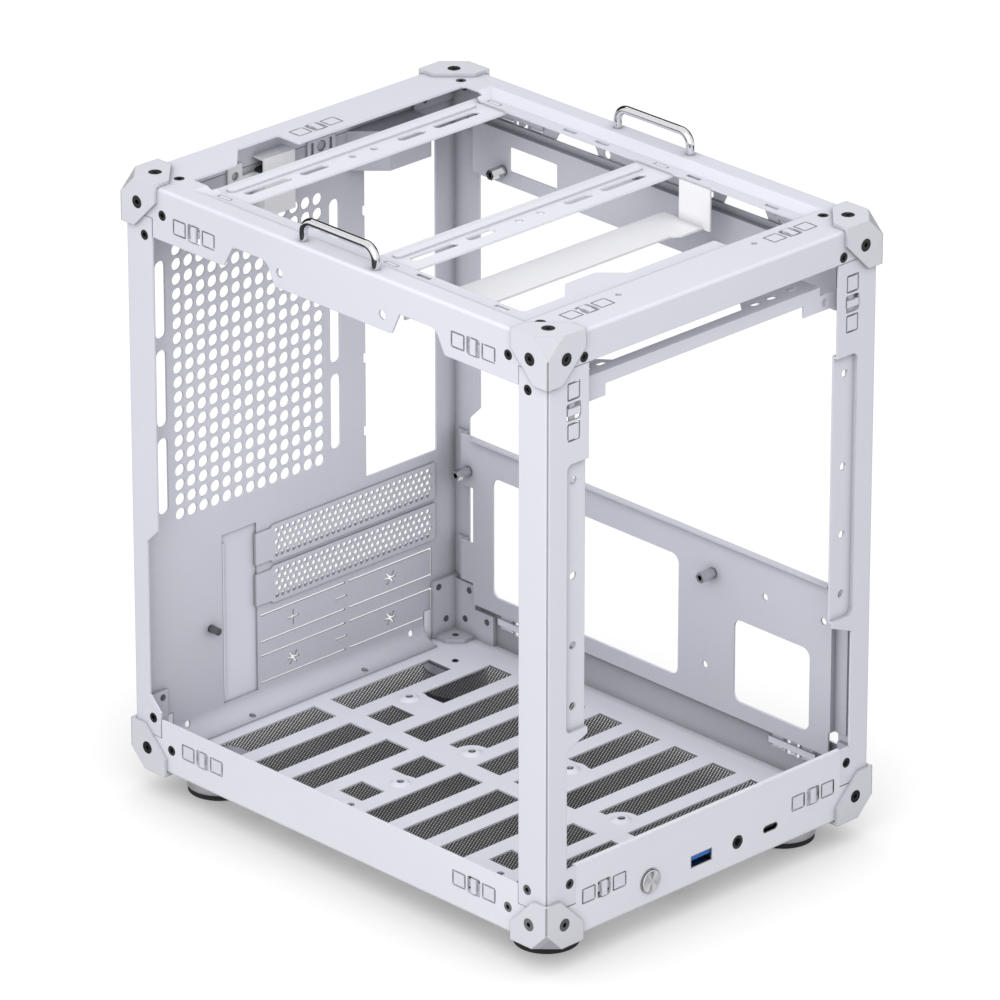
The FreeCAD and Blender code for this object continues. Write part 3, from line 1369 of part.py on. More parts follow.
def build_nodes():
    """Every piece of the case, by name."""
    nodes = {}
    cap, tip, web = corner_cap()
    cap = fuse_all([cap, web]).cut(tip)
    for name, signs in corner_signs():
        holes = corner_holes(signs)
        nodes["corner_cap_" + name] = to_corner(cap, signs).cut(holes)
    joints = []
    for name, signs in corner_signs():
        joint = to_corner(corner_joint(signs[2] > 0), signs)
        joints.append(joint.cut(corner_holes(signs)).cut(vertex_room()))
    nodes["corner_joints"] = Part.makeCompound(joints)
    cap_screws = []
    sheet_screws = []
    for name, signs in corner_signs():
        caps, sheets = corner_screw_list(signs)
        cap_screw = countersunk_screw(cap_screw_length)
        sheet_screw = countersunk_screw(sheet_screw_length, sheet_head_radius, sheet_head_depth)
        cap_screws += [to_corner(aim(cap_screw, place, axis), signs) for place, axis in caps]
        sheet_screws += [to_corner(aim(sheet_screw, place, axis), signs) for place, axis in sheets]
    nodes["cap_screws"] = Part.makeCompound(cap_screws)
    nodes["frame_screws"] = Part.makeCompound(sheet_screws)
    nodes["top_frame"] = top_frame()
    nodes["bottom_tray"] = bottom_tray()
    left_post = front_post()
    nodes["front_post_left"] = left_post
    nodes["front_post_right"] = mirrored_x(left_post)
    nodes["rear_panel"] = rear_panel()
    nodes["slot_cover_upper"] = slot_cover(0)
    nodes["slot_cover_lower"] = slot_cover(1)
    nodes["slot_retainer"] = slot_retainer()
    nodes["retainer_screw"] = retainer_screw()
    nodes["board_tray"] = board_tray()
    nodes["upper_strip"] = upper_strip()
    nodes["standoffs"] = standoffs()
    nodes["fan_bracket_rear"] = fan_bracket(bracket_rear)
    nodes["fan_bracket_middle"] = fan_bracket(bracket_rear - fan_pitch)
    nodes["supply_channel"] = supply_channel()
    nodes["front_channel"] = front_channel()
    nodes["panel_catches"] = panel_catches()
    left_handle = handle()
    nodes["handle_left"] = left_handle
    nodes["handle_right"] = mirrored_x(left_handle)
    nodes["handle_screws"] = handle_screws()
    for name, place in zip(("front_left", "front_right", "rear_left", "rear_right"), foot_positions):
        nodes["foot_" + name] = foot_body(*place)
        nodes["foot_pad_" + name] = foot_pad(*place)
    nodes["foot_screws"] = foot_screws()
    nodes["dust_filter"] = dust_filter()
    nodes["power_button"] = power_button()
    nodes["button_bezel"] = button_bezel()
    nodes["button_switch"] = button_switch()
    nodes["usb_a_shell"] = usb_a_shell()
    nodes["usb_a_tongue"] = usb_a_tongue()
    nodes["audio_jack"] = audio_jack()
    nodes["usb_c_shell"] = usb_c_shell()
    nodes["usb_c_tongue"] = usb_c_tongue()
    nodes["port_board"] = port_board()
    nodes["board_posts"] = board_posts()
    nodes["top_stiffener"] = top_stiffener()
    nodes["inlet_socket"] = inlet_socket()
    nodes["inlet_housing"] = inlet_housing()
    return nodes


os.makedirs("parts", exist_ok=True)
for node, shape in build_nodes().items():
    shape.exportStep("parts/" + node + ".step")
    print(node, len(shape.Solids), round(shape.Volume, 1), shape.isValid())
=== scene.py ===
import math

import bmesh
import bpy
from mathutils import Matrix, Vector


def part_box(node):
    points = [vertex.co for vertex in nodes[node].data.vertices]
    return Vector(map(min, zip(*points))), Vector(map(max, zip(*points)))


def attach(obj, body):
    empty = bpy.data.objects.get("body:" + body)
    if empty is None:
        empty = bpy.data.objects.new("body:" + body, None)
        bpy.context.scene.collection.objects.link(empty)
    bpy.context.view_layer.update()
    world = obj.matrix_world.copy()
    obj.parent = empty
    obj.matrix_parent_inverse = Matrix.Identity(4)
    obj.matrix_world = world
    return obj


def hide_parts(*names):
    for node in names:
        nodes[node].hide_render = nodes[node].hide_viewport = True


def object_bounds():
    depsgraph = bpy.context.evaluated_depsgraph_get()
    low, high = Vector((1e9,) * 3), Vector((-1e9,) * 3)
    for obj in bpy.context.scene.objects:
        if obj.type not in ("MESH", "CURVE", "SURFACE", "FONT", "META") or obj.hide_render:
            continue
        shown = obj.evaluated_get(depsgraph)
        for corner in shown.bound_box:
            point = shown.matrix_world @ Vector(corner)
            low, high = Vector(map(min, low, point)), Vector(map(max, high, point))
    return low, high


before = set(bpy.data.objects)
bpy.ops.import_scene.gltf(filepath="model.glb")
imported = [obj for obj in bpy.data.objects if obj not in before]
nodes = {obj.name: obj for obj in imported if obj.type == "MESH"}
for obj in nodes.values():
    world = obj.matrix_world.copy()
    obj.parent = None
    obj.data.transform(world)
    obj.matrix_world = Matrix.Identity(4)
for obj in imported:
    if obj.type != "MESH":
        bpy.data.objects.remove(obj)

case_low, case_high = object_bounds()

# The view.
# The case is seen from above its front left corner through a long lens, so
# that its upright edges stay almost parallel.
lens_length = 299.2
view_distance = 3.659
view_target = Vector((-0.00154, -0.00282, 0.14791))


def placed(name, data):
    """A new object with this mesh, lamp or camera, in the scene."""
    thing = bpy.data.objects.new(name, data)
    bpy.context.scene.collection.objects.link(thing)
    return thing


camera_data = bpy.data.cameras.new("photo_camera")
camera_data.lens = lens_length
camera_data.sensor_width = 36.0
camera_data.shift_x = -0.00136
camera_data.shift_y = 0.01172
camera_data.clip_end = 20.0
camera = placed("photo_camera", camera_data)
view_back = Vector((-0.63612, -0.65512, 0.40764)).normalized()
view_right = Vector((0.7174, -0.6966, 0.0)).normalized()
view_up = view_back.cross(view_right)
view_place = view_target + view_back * view_distance
camera.matrix_world = Matrix((
    (view_right.x, view_up.x, view_back.x, view_place.x),
    (view_right.y, view_up.y, view_back.y, view_place.y),
    (view_right.z, view_up.z, view_back.z, view_place.z),
    (0.0, 0.0, 0.0, 1.0)))
bpy.context.scene.camera = camera
bpy.context.scene.view_settings.view_transform = "Standard"

# The studio light.
# An even white room around the case, with one wide soft lamp high on the left,
# near enough that the top of the case is a little brighter than its foot.
room_level = 0.74
lamp_power = 15.5
lamp_width = 1.7
lamp_distance = 1.6
lamp_target = Vector((0.0, 0.12, 0.15))


def worked_out(tree, operation, first, second=None):
    """The result of one sum in a node tree, from other nodes' outputs or plain numbers."""
    node = tree.nodes.new("ShaderNodeMath")
    node.operation = operation
    for socket, value in zip(node.inputs, (first, second)):
        if isinstance(value, bpy.types.NodeSocket):
            tree.links.new(value, socket)
        elif value is not None:
            socket.default_value = value
    return node.outputs[0]


def looked_at(tree):
    """One for the eye and for shiny and clear surfaces, nothing for light that falls on the case."""
    path = tree.nodes.new("ShaderNodeLightPath")
    sharp = worked_out(tree, "MAXIMUM", path.outputs["Is Camera Ray"], path.outputs["Is Glossy Ray"])
    return worked_out(tree, "MAXIMUM", sharp, path.outputs["Is Transmission Ray"])


room = bpy.data.worlds.new("white_room")
room.use_nodes = True
room_tree = room.node_tree
room_tree.nodes.clear()
room_light = room_tree.nodes.new("ShaderNodeBackground")
room_light.inputs["Color"].default_value = (0.985, 0.99, 1.0, 1.0)
room_light.inputs["Strength"].default_value = room_level
room_seen = room_tree.nodes.new("ShaderNodeBackground")
room_seen.inputs["Color"].default_value = (1.0, 1.0, 1.0, 1.0)
room_seen.inputs["Strength"].default_value = 1.0
room_mix = room_tree.nodes.new("ShaderNodeMixShader")
room_out = room_tree.nodes.new("ShaderNodeOutputWorld")
room_tree.links.new(looked_at(room_tree), room_mix.inputs[0])
room_tree.links.new(room_light.outputs[0], room_mix.inputs[1])
room_tree.links.new(room_seen.outputs[0], room_mix.inputs[2])
room_tree.links.new(room_mix.outputs[0], room_out.inputs["Surface"])
bpy.context.scene.world = room

lamp_data = bpy.data.lights.new("soft_lamp", "AREA")
lamp_data.shape = "DISK"
lamp_data.size = lamp_width
lamp_data.energy = lamp_power
lamp = placed("soft_lamp", lamp_data)
lamp_way = Vector((-0.66, -0.53, 0.52)).normalized()
lamp.location = lamp_target + lamp_way * lamp_distance
lamp.rotation_euler = lamp_way.to_track_quat("Z", "Y").to_euler()
lamp.visible_camera = False

# The floor.
# A wide plain white table that keeps the real soft shadow under the case and fades
# into the white room. Its glow, seen only by the eye and in shiny surfaces, is
# dimmed near the case as a painted shadow.
floor_half = 6.0
floor_tone = 0.42
shadow_reach = 0.12
shadow_glow = 0.17
open_glow = 0.71


def openness(tree, distance, samples=3):
    """How open it is within a distance of a surface, from nothing in a corner to one."""
    node = tree.nodes.new("ShaderNodeAmbientOcclusion")
    node.samples = samples
    node.inputs["Distance"].default_value = distance
    return node.outputs["AO"]


def ranged(tree, value, low, high, to_low, to_high):
    """A value between low and high, moved to lie between to_low and to_high."""
    node = tree.nodes.new("ShaderNodeMapRange")
    node.inputs["From Min"].default_value = low
    node.inputs["From Max"].default_value = high
    node.inputs["To Min"].default_value = to_low
    node.inputs["To Max"].default_value = to_high
    tree.links.new(value, node.inputs["Value"])
    return node.outputs["Result"]


floor_mesh = bpy.data.meshes.new("floor")
floor_mesh.from_pydata([(-floor_half, -floor_half, 0.0), (floor_half, -floor_half, 0.0),
                        (floor_half, floor_half, 0.0), (-floor_half, floor_half, 0.0)], [], [(0, 1, 2, 3)])
floor = placed("floor", floor_mesh)
floor_paint = bpy.data.materials.new("floor_white")
floor_paint.use_nodes = True
floor_tree = floor_paint.node_tree
floor_tree.nodes.clear()
floor_matt = floor_tree.nodes.new("ShaderNodeBsdfDiffuse")
floor_matt.inputs["Color"].default_value = (floor_tone, floor_tone, floor_tone, 1.0)
# Painted shadow: the glow is dimmed where ambient occlusion finds the case close by.
floor_painted_shadow = ranged(floor_tree, openness(floor_tree, shadow_reach, 8), 0.0, 1.0, shadow_glow, open_glow)
floor_lift = worked_out(floor_tree, "MULTIPLY", looked_at(floor_tree), floor_painted_shadow)
floor_glow = floor_tree.nodes.new("ShaderNodeEmission")
floor_sum = floor_tree.nodes.new("ShaderNodeAddShader")
floor_out = floor_tree.nodes.new("ShaderNodeOutputMaterial")
floor_tree.links.new(floor_lift, floor_glow.inputs["Strength"])
floor_tree.links.new(floor_matt.outputs[0], floor_sum.inputs[0])
floor_tree.links.new(floor_glow.outputs[0], floor_sum.inputs[1])
floor_tree.links.new(floor_sum.outputs[0], floor_out.inputs["Surface"])
floor_mesh.materials.append(floor_paint)

# The dark cards.
# A curved black card stood far behind the case and one laid in front of it, both
# seen only in shiny surfaces, so that the handles and screws show dark lines.
far_card = ((2.4, 0.02), (2.4, 2.5))
low_card = ((0.175, 0.001), (1.7, 0.001))
card_black = bpy.data.materials.new("card_black")
card_black.use_nodes = True
card_skin = card_black.node_tree.nodes["Principled BSDF"]
card_skin.inputs["Base Color"].default_value = (0.02, 0.02, 0.022, 1.0)
card_skin.inputs["Roughness"].default_value = 0.9


def dark_card(name, edges, start, count):
    """A card bent round the case between two edges, each a (radius, height), in steps of six degrees."""
    corners = []
    faces = []
    for step in range(count):
        angle = math.radians(start + step * 6.0)
        for radius, height in edges:
            corners.append((radius * math.cos(angle), radius * math.sin(angle), height))
        if step:
            first = 2 * step
            faces.append((first - 2, first, first + 1, first - 1))
    mesh = bpy.data.meshes.new(name)
    mesh.from_pydata(corners, [], faces)
    mesh.materials.append(card_black)
    card = placed(name, mesh)
    card.visible_camera = False
    card.visible_diffuse = False
    card.visible_transmission = False
    card.visible_volume_scatter = False
    card.visible_shadow = False


dark_card("dark_card", far_card, -27.0, 25)
dark_card("low_card", low_card, 98.0, 41)

# The frame sheets.
# Folded steel sheets of the top, floor, rear wall, posts and tray, all in the
# same matt white powder coat with its fine orange peel. The coat carries painted
# shade in its crevices, and some parts take lighter or darker copies of it as
# painted light and shade.
cloud_scale = 14.0
painted_crevice_reach = 0.005
painted_wall_reach = 0.14
outer_depth = 0.0021


def grained(tree, place, scale, detail):
    """Fine noise that stays with the case."""
    node = tree.nodes.new("ShaderNodeTexNoise")
    node.inputs["Scale"].default_value = scale
    node.inputs["Detail"].default_value = detail
    tree.links.new(place, node.inputs["Vector"])
    return node.outputs["Fac"]


def tinted(tree, value, colour, least, low=0.0, high=1.0):
    """A colour that falls to the share least of itself where the value is low."""
    node = tree.nodes.new("ShaderNodeValToRGB")
    ends = node.color_ramp.elements
    ends[0].position = low
    ends[0].color = tuple(least * c for c in colour) + (1.0,)
    ends[1].position = high
    ends[1].color = tuple(colour) + (1.0,)
    tree.links.new(value, node.inputs["Fac"])
    return node.outputs["Color"]


def multiplied(tree, colour, painted_shade):
    """A colour made darker by a painted shade."""
    node = tree.nodes.new("ShaderNodeMix")
    node.data_type = "RGBA"
    node.blend_type = "MULTIPLY"
    node.inputs["Factor"].default_value = 1.0
    tree.links.new(colour, node.inputs["A"])
    tree.links.new(painted_shade, node.inputs["B"])
    return node.outputs["Result"]


def finished(paint, colour, grain, gloss, relief, height, round_edge):
    """Gives a paint its colour and gloss, and the relief of its grain over rounded edges."""
    tree = paint.node_tree
    skin = tree.nodes["Principled BSDF"]
    bump = tree.nodes.new("ShaderNodeBump")
    bump.inputs["Strength"].default_value = relief
    bump.inputs["Distance"].default_value = height
    if round_edge:
        edge = tree.nodes.new("ShaderNodeBevel")
        edge.samples = 4
        edge.inputs["Radius"].default_value = round_edge
        tree.links.new(edge.outputs["Normal"], bump.inputs["Normal"])
    tree.links.new(colour, skin.inputs["Base Color"])
    tree.links.new(ranged(tree, grain, 0.0, 1.0, gloss[0], gloss[1]), skin.inputs["Roughness"])
    tree.links.new(grain, bump.inputs["Height"])
    tree.links.new(bump.outputs["Normal"], skin.inputs["Normal"])
    return paint


def coat(name, colour, grain_size=0.0011, peel=0.10, gloss=(0.46, 0.54), round_edge=0.00035,
         painted_shade_least=0.75, painted_shade_reach=0.03, painted_wall_shade=1.0):
    """Powder coat, faintly cloudy, with painted shade in crevices and on the inner face of the right wall."""
    paint = bpy.data.materials.new(name)
    paint.use_nodes = True
    tree = paint.node_tree
    tree.nodes["Principled BSDF"].inputs["Specular IOR Level"].default_value = 0.3
    place = tree.nodes.new("ShaderNodeTexCoord").outputs["Object"]
    tint = tinted(tree, grained(tree, place, cloud_scale, 3.0), colour, 0.975, 0.3, 0.7)
    split_place = tree.nodes.new("ShaderNodeSeparateXYZ")
    tree.links.new(place, split_place.inputs["Vector"])
    across = split_place.outputs["X"]
    off_middle = worked_out(tree, "ABSOLUTE", across)
    # Outer skins of the side walls are kept out of the wide painted shade.
    outer_face = worked_out(tree, "GREATER_THAN", off_middle, case_high.x - outer_depth)
    # Painted shade: the colour is darkened where ambient occlusion finds the surface closed in, widely and in
    # narrow crevices.
    painted_far_shade = ranged(tree, openness(tree, painted_shade_reach), 0.2, 0.95, painted_shade_least, 1.0)
    painted_crevice_shade = ranged(tree, openness(tree, painted_crevice_reach), 0.4, 0.85, 0.5, 1.0)
    painted_shade = worked_out(tree, "MULTIPLY", worked_out(tree, "MAXIMUM", outer_face, painted_far_shade), painted_crevice_shade)
    # Painted shade on the leftward inner face of the right wall, darker the more closed in it is.
    if painted_wall_shade < 1.0:
        split_normal = tree.nodes.new("ShaderNodeSeparateXYZ")
        facing = tree.nodes.new("ShaderNodeNewGeometry")
        tree.links.new(facing.outputs["Normal"], split_normal.inputs["Vector"])
        faces_left = ranged(tree, split_normal.outputs["X"], -0.9, -1.0, 0.0, 1.0)
        painted_wall_mask = worked_out(tree, "MULTIPLY", faces_left, worked_out(tree, "GREATER_THAN", across, 0.0))
        painted_wall_depth = ranged(tree, openness(tree, painted_wall_reach), 0.95, 0.3, 0.0, 1.0 - painted_wall_shade)
        painted_wall_factor = worked_out(tree, "SUBTRACT", 1.0, worked_out(tree, "MULTIPLY", painted_wall_mask, painted_wall_depth))
        painted_shade = worked_out(tree, "MULTIPLY", painted_wall_factor, painted_shade)
    grain = grained(tree, place, 1.0 / grain_size, 2.0)
    return finished(paint, multiplied(tree, tint, painted_shade), grain, gloss, peel, 0.00006, round_edge)


def dress(names, finish):
    """Puts a finish on parts of the case that keep their own shape."""
    for name in names:
        part = nodes[name].data
        part.materials.clear()
        part.materials.append(finish)


# The plain coat, with painted shade in its crevices.
white = coat("white_powder_coat", (0.80, 0.80, 0.88))
plain_sheets = ("top_", "front_", "slot_retainer", "panel_catches")
dress([name for name in nodes if name.startswith(plain_sheets)], white)
# The floor tray takes a lighter copy of the coat as painted light, with painted shade on the inner face of
# its right wall.
floor_white = coat("white_floor_painted_light_coat", (0.86, 0.86, 0.93), painted_shade_least=0.95, painted_wall_shade=0.25)
# Inner parts take the coat with deeper and wider painted shade.
inner_painted_shade_white = coat("white_inner_painted_shade_coat", (0.80, 0.80, 0.88), painted_shade_least=0.5, painted_shade_reach=0.14)
dress(["board_tray", "board_posts", "upper_strip", "corner_joints", "top_stiffener"], inner_painted_shade_white)
# The supply channel and inlet housing take a lighter copy of the coat as painted light, with little painted
# shade.
painted_lit_white = coat("white_painted_lit_coat", (0.97, 0.97, 0.99), painted_shade_least=0.95)
dress(["supply_channel", "inlet_housing"], painted_lit_white)
# The fan brackets take a lighter copy of the coat as painted light.
bracket_painted_lit_white = coat("white_bracket_painted_lit_coat", (0.88, 0.88, 0.95), painted_shade_least=0.85)
dress(["fan_bracket_middle", "fan_bracket_rear"], bracket_painted_lit_white)

# The rear wall.
# A folded sheet like the rest, with a square field of punched round holes for
# the rear fan. The holes are cut here in a copy of the wall.
grille_pitch = 0.00708
grille_columns = 13
grille_rows = 19
grille_radius = 0.0029
grille_middle = (-0.0289, 0.1896)


def drill_tool(holes, radius, y0, y1, sides):
    """Round bars along Y, one at each (x, z) place."""
    bars = bmesh.new()
    for x, z in holes:
        rings = []
        for y in (y0, y1):
            ring = []
            for k in range(sides):
                turn = 2 * math.pi * k / sides
                ring.append(bars.verts.new((x + radius * math.cos(turn), y, z + radius * math.sin(turn))))
            rings.append(ring)
        bars.faces.new(rings[0])
        bars.faces.new(rings[1][::-1])
        for k in range(sides):
            after = (k + 1) % sides
            bars.faces.new((rings[0][k], rings[1][k], rings[1][after], rings[0][after]))
    bmesh.ops.recalc_face_normals(bars, faces=bars.faces)
    return bars


def reworked(node, steps, finish):
    """A copy of a sheet part with shapes cut from it or joined to it, standing for the part."""
    copy = bmesh.new()
    copy.from_mesh(nodes[node].data)
    bmesh.ops.remove_doubles(copy, verts=copy.verts, dist=0.000001)
    mesh = bpy.data.meshes.new(node + "_finished")
    copy.to_mesh(mesh)
    copy.free()
    piece = placed(node + "_finished", mesh)
    for operation, shape in steps:
        tool_mesh = bpy.data.meshes.new("tool")
        shape.to_mesh(tool_mesh)
        shape.free()
        tool = placed("tool", tool_mesh)
        cut = piece.modifiers.new("cut", "BOOLEAN")
        cut.operation = operation
        cut.solver = "EXACT"
        cut.object = tool
        done = bpy.data.meshes.new_from_object(piece.evaluated_get(bpy.context.evaluated_depsgraph_get()))
        piece.modifiers.clear()
        piece.data = done
        bpy.data.objects.remove(tool)
        bpy.data.meshes.remove(tool_mesh)
    piece.data.shade_flat()
    piece.data.materials.clear()
    piece.data.materials.append(finish)
    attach(piece, "case")
    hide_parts(node)
    return piece


grille_holes = []
for column in range(grille_columns):
    for row in range(grille_rows):
        grille_holes.append((grille_middle[0] + (column - (grille_columns - 1) / 2) * grille_pitch,
                             grille_middle[1] + (row - (grille_rows - 1) / 2) * grille_pitch))
grille_drill = drill_tool(grille_holes, grille_radius, case_high.y - 0.006, case_high.y + 0.002, 24)
reworked("rear_panel", [("DIFFERENCE", grille_drill)], inner_painted_shade_white)

# The floor tray.
# A folded pan with vents and a hemmed front wall, whose narrow lip leaves the
# front row of vents in view.
lip_reach = 0.0041
lip_cut_depth = 0.0100
lip_cut_half = 0.0835
lip_cut_low = 0.0465
lip_cut_high = 0.0485


def block(x0, x1, y0, y1, z0, z1):
    """A plain box between two corners, as a tool."""
    shape = bmesh.new()
    bmesh.ops.create_cube(shape, size=1.0, matrix=Matrix.LocRotScale(
        ((x0 + x1) / 2, (y0 + y1) / 2, (z0 + z1) / 2), None, (x1 - x0, y1 - y0, z1 - z0)))
    return shape


lip_edge = case_low.y + lip_reach
lip_tool = block(-lip_cut_half, lip_cut_half, lip_edge, lip_edge + lip_cut_depth, lip_cut_low, lip_cut_high)
reworked("bottom_tray", [("DIFFERENCE", lip_tool)], floor_white)

# The front posts.
# Folded angles with a scored line along the fold. The narrow front leg widens
# at its foot to meet the end of the tray and take a countersunk screw.
score_width = 0.0007
post_score = 0.00115
foot_plate = (0.0820, 0.0885, 0.0302, 0.0478)
foot_screw_at = (0.0858, 0.0405)
foot_screw_radius = 0.00233
sheet_thickness = 0.001


def score(corner_x, corner_y, depth, z0, z1):
    """An upright bar along an outer corner, which scores a line into it."""
    bar = bmesh.new()
    turn = Matrix.Rotation(math.copysign(math.radians(45.0), corner_x * corner_y), 4, "Z")
    bmesh.ops.create_cube(bar, size=1.0, matrix=Matrix.Translation((corner_x, corner_y, (z0 + z1) / 2)) @ turn
                          @ Matrix.Diagonal((2 * depth, score_width, z1 - z0, 1.0)))
    return bar


for side, name in ((-1, "front_post_left"), (1, "front_post_right")):
    post_low, post_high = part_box(name)
    face = post_low.y
    fold = post_low.x if side < 0 else post_high.x
    inner, outer = sorted((side * foot_plate[0], side * foot_plate[1]))
    plate = block(inner, outer, face, face + sheet_thickness, foot_plate[2], foot_plate[3])
    hole_at = (side * foot_screw_at[0], foot_screw_at[1])
    hole = drill_tool([hole_at], foot_screw_radius, face - 0.002, face + 0.0011, 40)
    line = score(fold, face, post_score, post_low.z - 0.001, post_high.z + 0.001)
    reworked(name, [("UNION", plate), ("DIFFERENCE", hole), ("DIFFERENCE", line)], white)

# The slot covers.
# Two thin steel blanks behind the expansion slots, pierced with five staggered
# rows of small round holes for air.
vent_pitch = 0.0035
vent_radius = 0.00118
vent_columns = 28
first_vent = -0.0142
for name in ("slot_cover_upper", "slot_cover_lower"):
    cover_low, cover_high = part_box(name)
    cover_middle = (cover_low.z + cover_high.z) / 2
    vent_holes = []
    for row in range(-2, 3):
        for column in range(vent_columns):
            vent_holes.append((first_vent + (column + 0.5 * (row % 2)) * vent_pitch,
                               cover_middle + row * vent_pitch * math.sqrt(0.75)))
    vent_drill = drill_tool(vent_holes, vent_radius, cover_low.y - 0.002, cover_high.y + 0.003, 12)
    reworked(name, [("DIFFERENCE", vent_drill)], inner_painted_shade_white)

# The corner caps.
# Eight cast three-way corner pieces with bevelled edges, coated with the frame
# but a little smoother, in a darker copy of the coat as painted shade. Their flat
# tips are darkened further with painted shade.
cap_score = 0.0009
cap_tip = 0.0093
tip_painted_shade_tone = 0.74
cap_painted_shade_white = coat("white_cap_painted_shade_coat", (0.765, 0.765, 0.825), peel=0.06, gloss=(0.42, 0.50), round_edge=0.0007)
cap_tree = cap_painted_shade_white.node_tree
cap_skin = cap_tree.nodes["Principled BSDF"]
# Painted shade on the flat tip facets, whose normals lie along the corner diagonals.
cap_facing = cap_tree.nodes.new("ShaderNodeNewGeometry")
cap_fold = cap_tree.nodes.new("ShaderNodeVectorMath")
cap_fold.operation = "ABSOLUTE"
cap_slant = cap_tree.nodes.new("ShaderNodeVectorMath")
cap_slant.operation = "DOT_PRODUCT"
cap_slant.inputs[1].default_value = (0.577, 0.577, 0.577)
cap_tree.links.new(cap_facing.outputs["True Normal"], cap_fold.inputs[0])
cap_tree.links.new(cap_fold.outputs["Vector"], cap_slant.inputs[0])
tip_painted_shade = ranged(cap_tree, cap_slant.outputs["Value"], 0.94, 0.98, 1.0, tip_painted_shade_tone)
cap_colour = cap_skin.inputs["Base Color"].links[0].from_socket
cap_tree.links.new(multiplied(cap_tree, cap_colour, tip_painted_shade), cap_skin.inputs["Base Color"])
for name in [name for name in nodes if name.startswith("corner_cap")]:
    cap_low, cap_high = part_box(name)
    edge_x = cap_low.x if name.endswith("left") else cap_high.x
    edge_y = cap_low.y if "front" in name else cap_high.y
    if "bottom" in name:
        line = score(edge_x, edge_y, cap_score, cap_low.z + cap_tip, cap_high.z + 0.001)
    else:
        line = score(edge_x, edge_y, cap_score, cap_low.z - 0.001, cap_high.z - cap_tip)
    reworked(name, [("DIFFERENCE", line)], cap_painted_shade_white)

# The screws.
# Small blackened steel countersunk screws with six-sided sockets, which hold
# the caps, sheets, handles, feet and the slot retainer.
hollow_shade_reach = 0.0016


def metal(name, colour, gloss, grain_size=0.0004, grain_height=0.00002, stretch=(1.0, 1.0, 1.0),
          round_edge=0.0, hollow_painted_shade=0.05):
    """Bare or plated metal with fine uneven grain, drawn out along one way where it is brushed or turned,
    with painted shade in its hollows.
    """
    paint = bpy.data.materials.new(name)
    paint.use_nodes = True
    tree = paint.node_tree
    tree.nodes["Principled BSDF"].inputs["Metallic"].default_value = 1.0
    turn = tree.nodes.new("ShaderNodeMapping")
    turn.inputs["Scale"].default_value = stretch
    tree.links.new(tree.nodes.new("ShaderNodeTexCoord").outputs["Object"], turn.inputs["Vector"])
    grain = grained(tree, turn.outputs["Vector"], 1.0 / grain_size, 3.0)
    # Painted shade: the colour is darkened where ambient occlusion finds a hollow, such as a screw socket.
    hollow_shade = ranged(tree, openness(tree, hollow_shade_reach), 0.45, 0.9, hollow_painted_shade, 1.0)
    shaded = multiplied(tree, tinted(tree, grain, colour, 0.88), hollow_shade)
    return finished(paint, shaded, grain, gloss, 0.3, grain_height, round_edge)


black_steel = metal("blackened_steel", (0.22, 0.22, 0.23), (0.32, 0.42), round_edge=0.00015)
dress(["cap_screws", "frame_screws", "handle_screws", "foot_screws", "retainer_screw"], black_steel)

# The handles.
# Two round bars of polished steel bent into low arches, screwed to the top
# rails from below.
handle_steel = metal("polished_bar", (0.80, 0.80, 0.82), (0.05, 0.10), grain_size=0.0009,
                     grain_height=0.000004, hollow_painted_shade=0.4)
dress(["handle_left", "handle_right"], handle_steel)

# The board stand-offs.
# Turned posts with a dark plating, screwed through the tray and the strip.
dark_steel = metal("dark_plating", (0.60, 0.60, 0.62), (0.12, 0.20), stretch=(1.0, 0.4, 0.4),
                   round_edge=0.0002)
dress(["standoffs"], dark_steel)

# The feet.
# Turned and satin plated rings with a bright rim, on black rubber soles.
foot_metal = metal("turned_foot", (0.52, 0.52, 0.54), (0.16, 0.28), grain_size=0.0006,
                   stretch=(0.3, 0.3, 3.0), round_edge=0.0003)
foot_parts = [name for name in nodes if name.startswith("foot_")]
foot_rings = [name for name in foot_parts if "pad" not in name and "screws" not in name]
dress(foot_rings, foot_metal)


def plastic(name, colour, gloss, grain_size=0.0006, grain_height=0.00003, shine=0.5):
    """Moulded plastic or rubber with a fine uneven skin."""
    paint = bpy.data.materials.new(name)
    paint.use_nodes = True
    tree = paint.node_tree
    tree.nodes["Principled BSDF"].inputs["Specular IOR Level"].default_value = shine
    grain = grained(tree, tree.nodes.new("ShaderNodeTexCoord").outputs["Object"], 1.0 / grain_size, 2.0)
    return finished(paint, tinted(tree, grain, colour, 0.82), grain, gloss, 0.3, grain_height, 0.0)


rubber = plastic("sole_rubber", (0.028, 0.028, 0.030), (0.65, 0.8), shine=0.3)
dress([name for name in nodes if name.startswith("foot_pad")], rubber)

# The dust filter.
# A thin black sheet with round holes in staggered rows, held under the floor.
# Its webs run in three directions between the rows, so each hole is six-sided.
hole_step = 0.0016
web_angles = (30.0, 90.0, 150.0)
web_widths = (0.00058, 0.00026, 0.00026)
web_thickness = 0.00012
web_top = 0.0002
layer_step = 0.00006
shortest_web = 0.0008
filter_margin = 0.0003
filter_rows = 130


def web(mesh, start, end, z, width, thickness):
    """One straight web of the filter, from start to end."""
    along = (end - start).normalized()
    side = Vector((-along.y, along.x)) * width / 2
    ring = []
    for level in (z, z + thickness):
        for corner in (start + side, start - side, end - side, end + side):
            ring.append(mesh.verts.new((corner.x, corner.y, level)))
    for a, b, c, d in ((3, 2, 1, 0), (4, 5, 6, 7), (0, 1, 5, 4), (1, 2, 6, 5), (2, 3, 7, 6), (3, 0, 4, 7)):
        mesh.faces.new((ring[a], ring[b], ring[c], ring[d]))


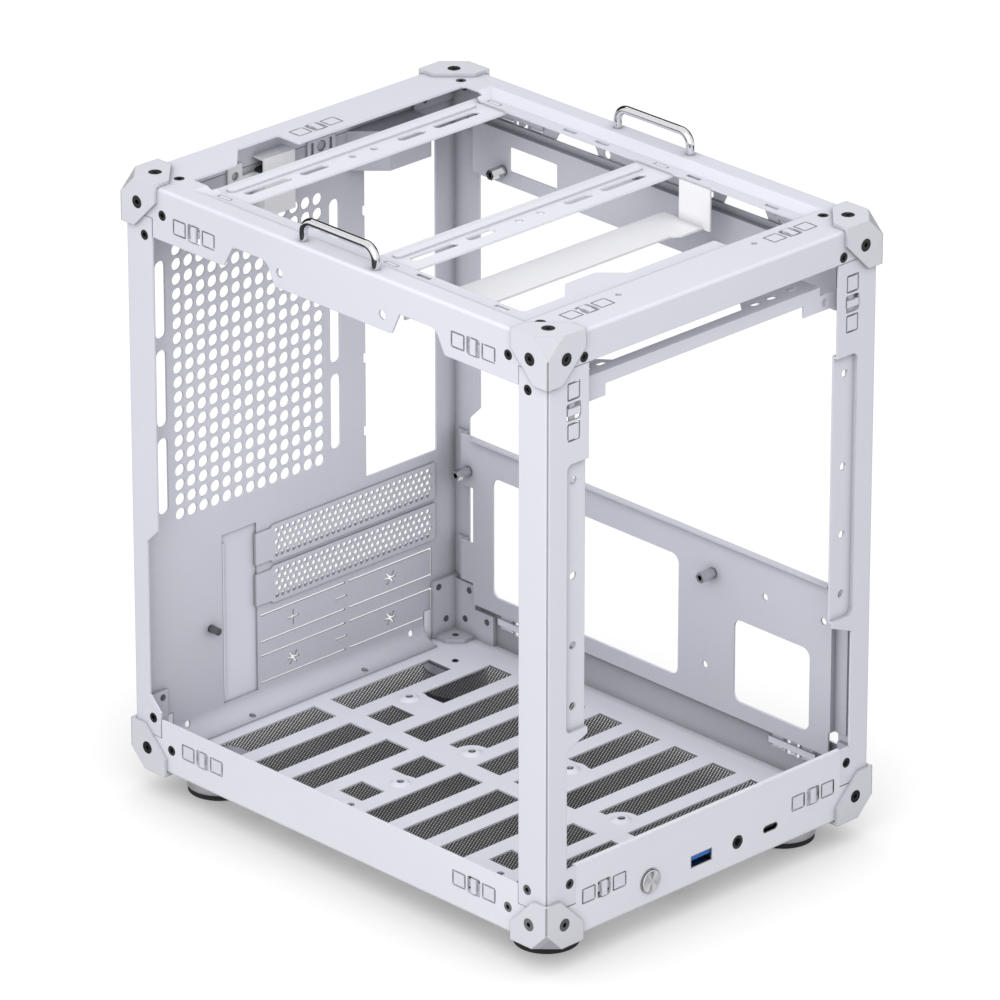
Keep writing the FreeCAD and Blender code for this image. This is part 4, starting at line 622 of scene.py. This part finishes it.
def clip_line(point, along, low, high):
    """The part of a straight line that lies inside a rectangle, or nothing."""
    near = -10.0
    far = 10.0
    for axis in (0, 1):
        if abs(along[axis]) < 1e-9:
            if not low[axis] <= point[axis] <= high[axis]:
                return None
            continue
        a = (low[axis] - point[axis]) / along[axis]
        b = (high[axis] - point[axis]) / along[axis]
        near = max(near, min(a, b))
        far = min(far, max(a, b))
    if far - near < shortest_web:
        return None
    return point + along * near, point + along * far


filter_low, filter_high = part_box("dust_filter")
web_low = Vector((filter_low.x + filter_margin, filter_low.y + filter_margin))
web_high = Vector((filter_high.x - filter_margin, filter_high.y - filter_margin))
web_middle = (web_low + web_high) / 2
row_step = hole_step * math.sqrt(0.75)
filter_web = bmesh.new()
for layer, (angle, width) in enumerate(zip(web_angles, web_widths)):
    along = Vector((math.cos(math.radians(angle)), math.sin(math.radians(angle))))
    across = Vector((-along.y, along.x))
    web_z = filter_high.z - web_top - layer * layer_step
    for row in range(-filter_rows, filter_rows + 1):
        line = clip_line(web_middle + across * (row + 0.5) * row_step, along, web_low, web_high)
        if line:
            web(filter_web, line[0], line[1], web_z, width, web_thickness)
filter_mesh = bpy.data.meshes.new("dust_filter_mesh")
filter_web.to_mesh(filter_mesh)
filter_web.free()
dust_filter = placed("dust_filter_mesh", filter_mesh)
filter_black = plastic("filter_sheet", (0.018, 0.018, 0.020), (0.5, 0.65), grain_size=0.0003, shine=0.35)
filter_mesh.materials.append(filter_black)
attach(dust_filter, "case")
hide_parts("dust_filter")

# The power button.
# A turned metal button with a spun face, sliding in a pressed ring.
button_metal = metal("spun_button", (0.80, 0.80, 0.83), (0.42, 0.50), grain_size=0.0005, round_edge=0.0002)
button_spin = button_metal.node_tree.nodes.new("ShaderNodeTangent")
button_spin.direction_type = "RADIAL"
button_spin.axis = "Y"
button_skin = button_metal.node_tree.nodes["Principled BSDF"]
button_skin.inputs["Anisotropic"].default_value = 0.95
button_metal.node_tree.links.new(button_spin.outputs["Tangent"], button_skin.inputs["Tangent"])
dress(["power_button", "button_bezel"], button_metal)

# The front sockets.
# Plated shells with moulded tongues: blue in the wide socket, black in the
# small one, and a black collar for the round audio socket.
port_steel = metal("plated_shell", (0.60, 0.60, 0.62), (0.2, 0.3), round_edge=0.0001)
dress(["usb_a_shell", "usb_c_shell"], port_steel)
dress(["usb_a_tongue"], plastic("blue_moulding", (0.008, 0.17, 0.62), (0.3, 0.4)))
black_plastic = plastic("black_moulding", (0.022, 0.022, 0.024), (0.32, 0.45))
dress(["audio_jack", "usb_c_tongue", "button_switch", "inlet_socket"], black_plastic)
dress(["port_board"], plastic("board_laminate", (0.02, 0.05, 0.035), (0.4, 0.5)))
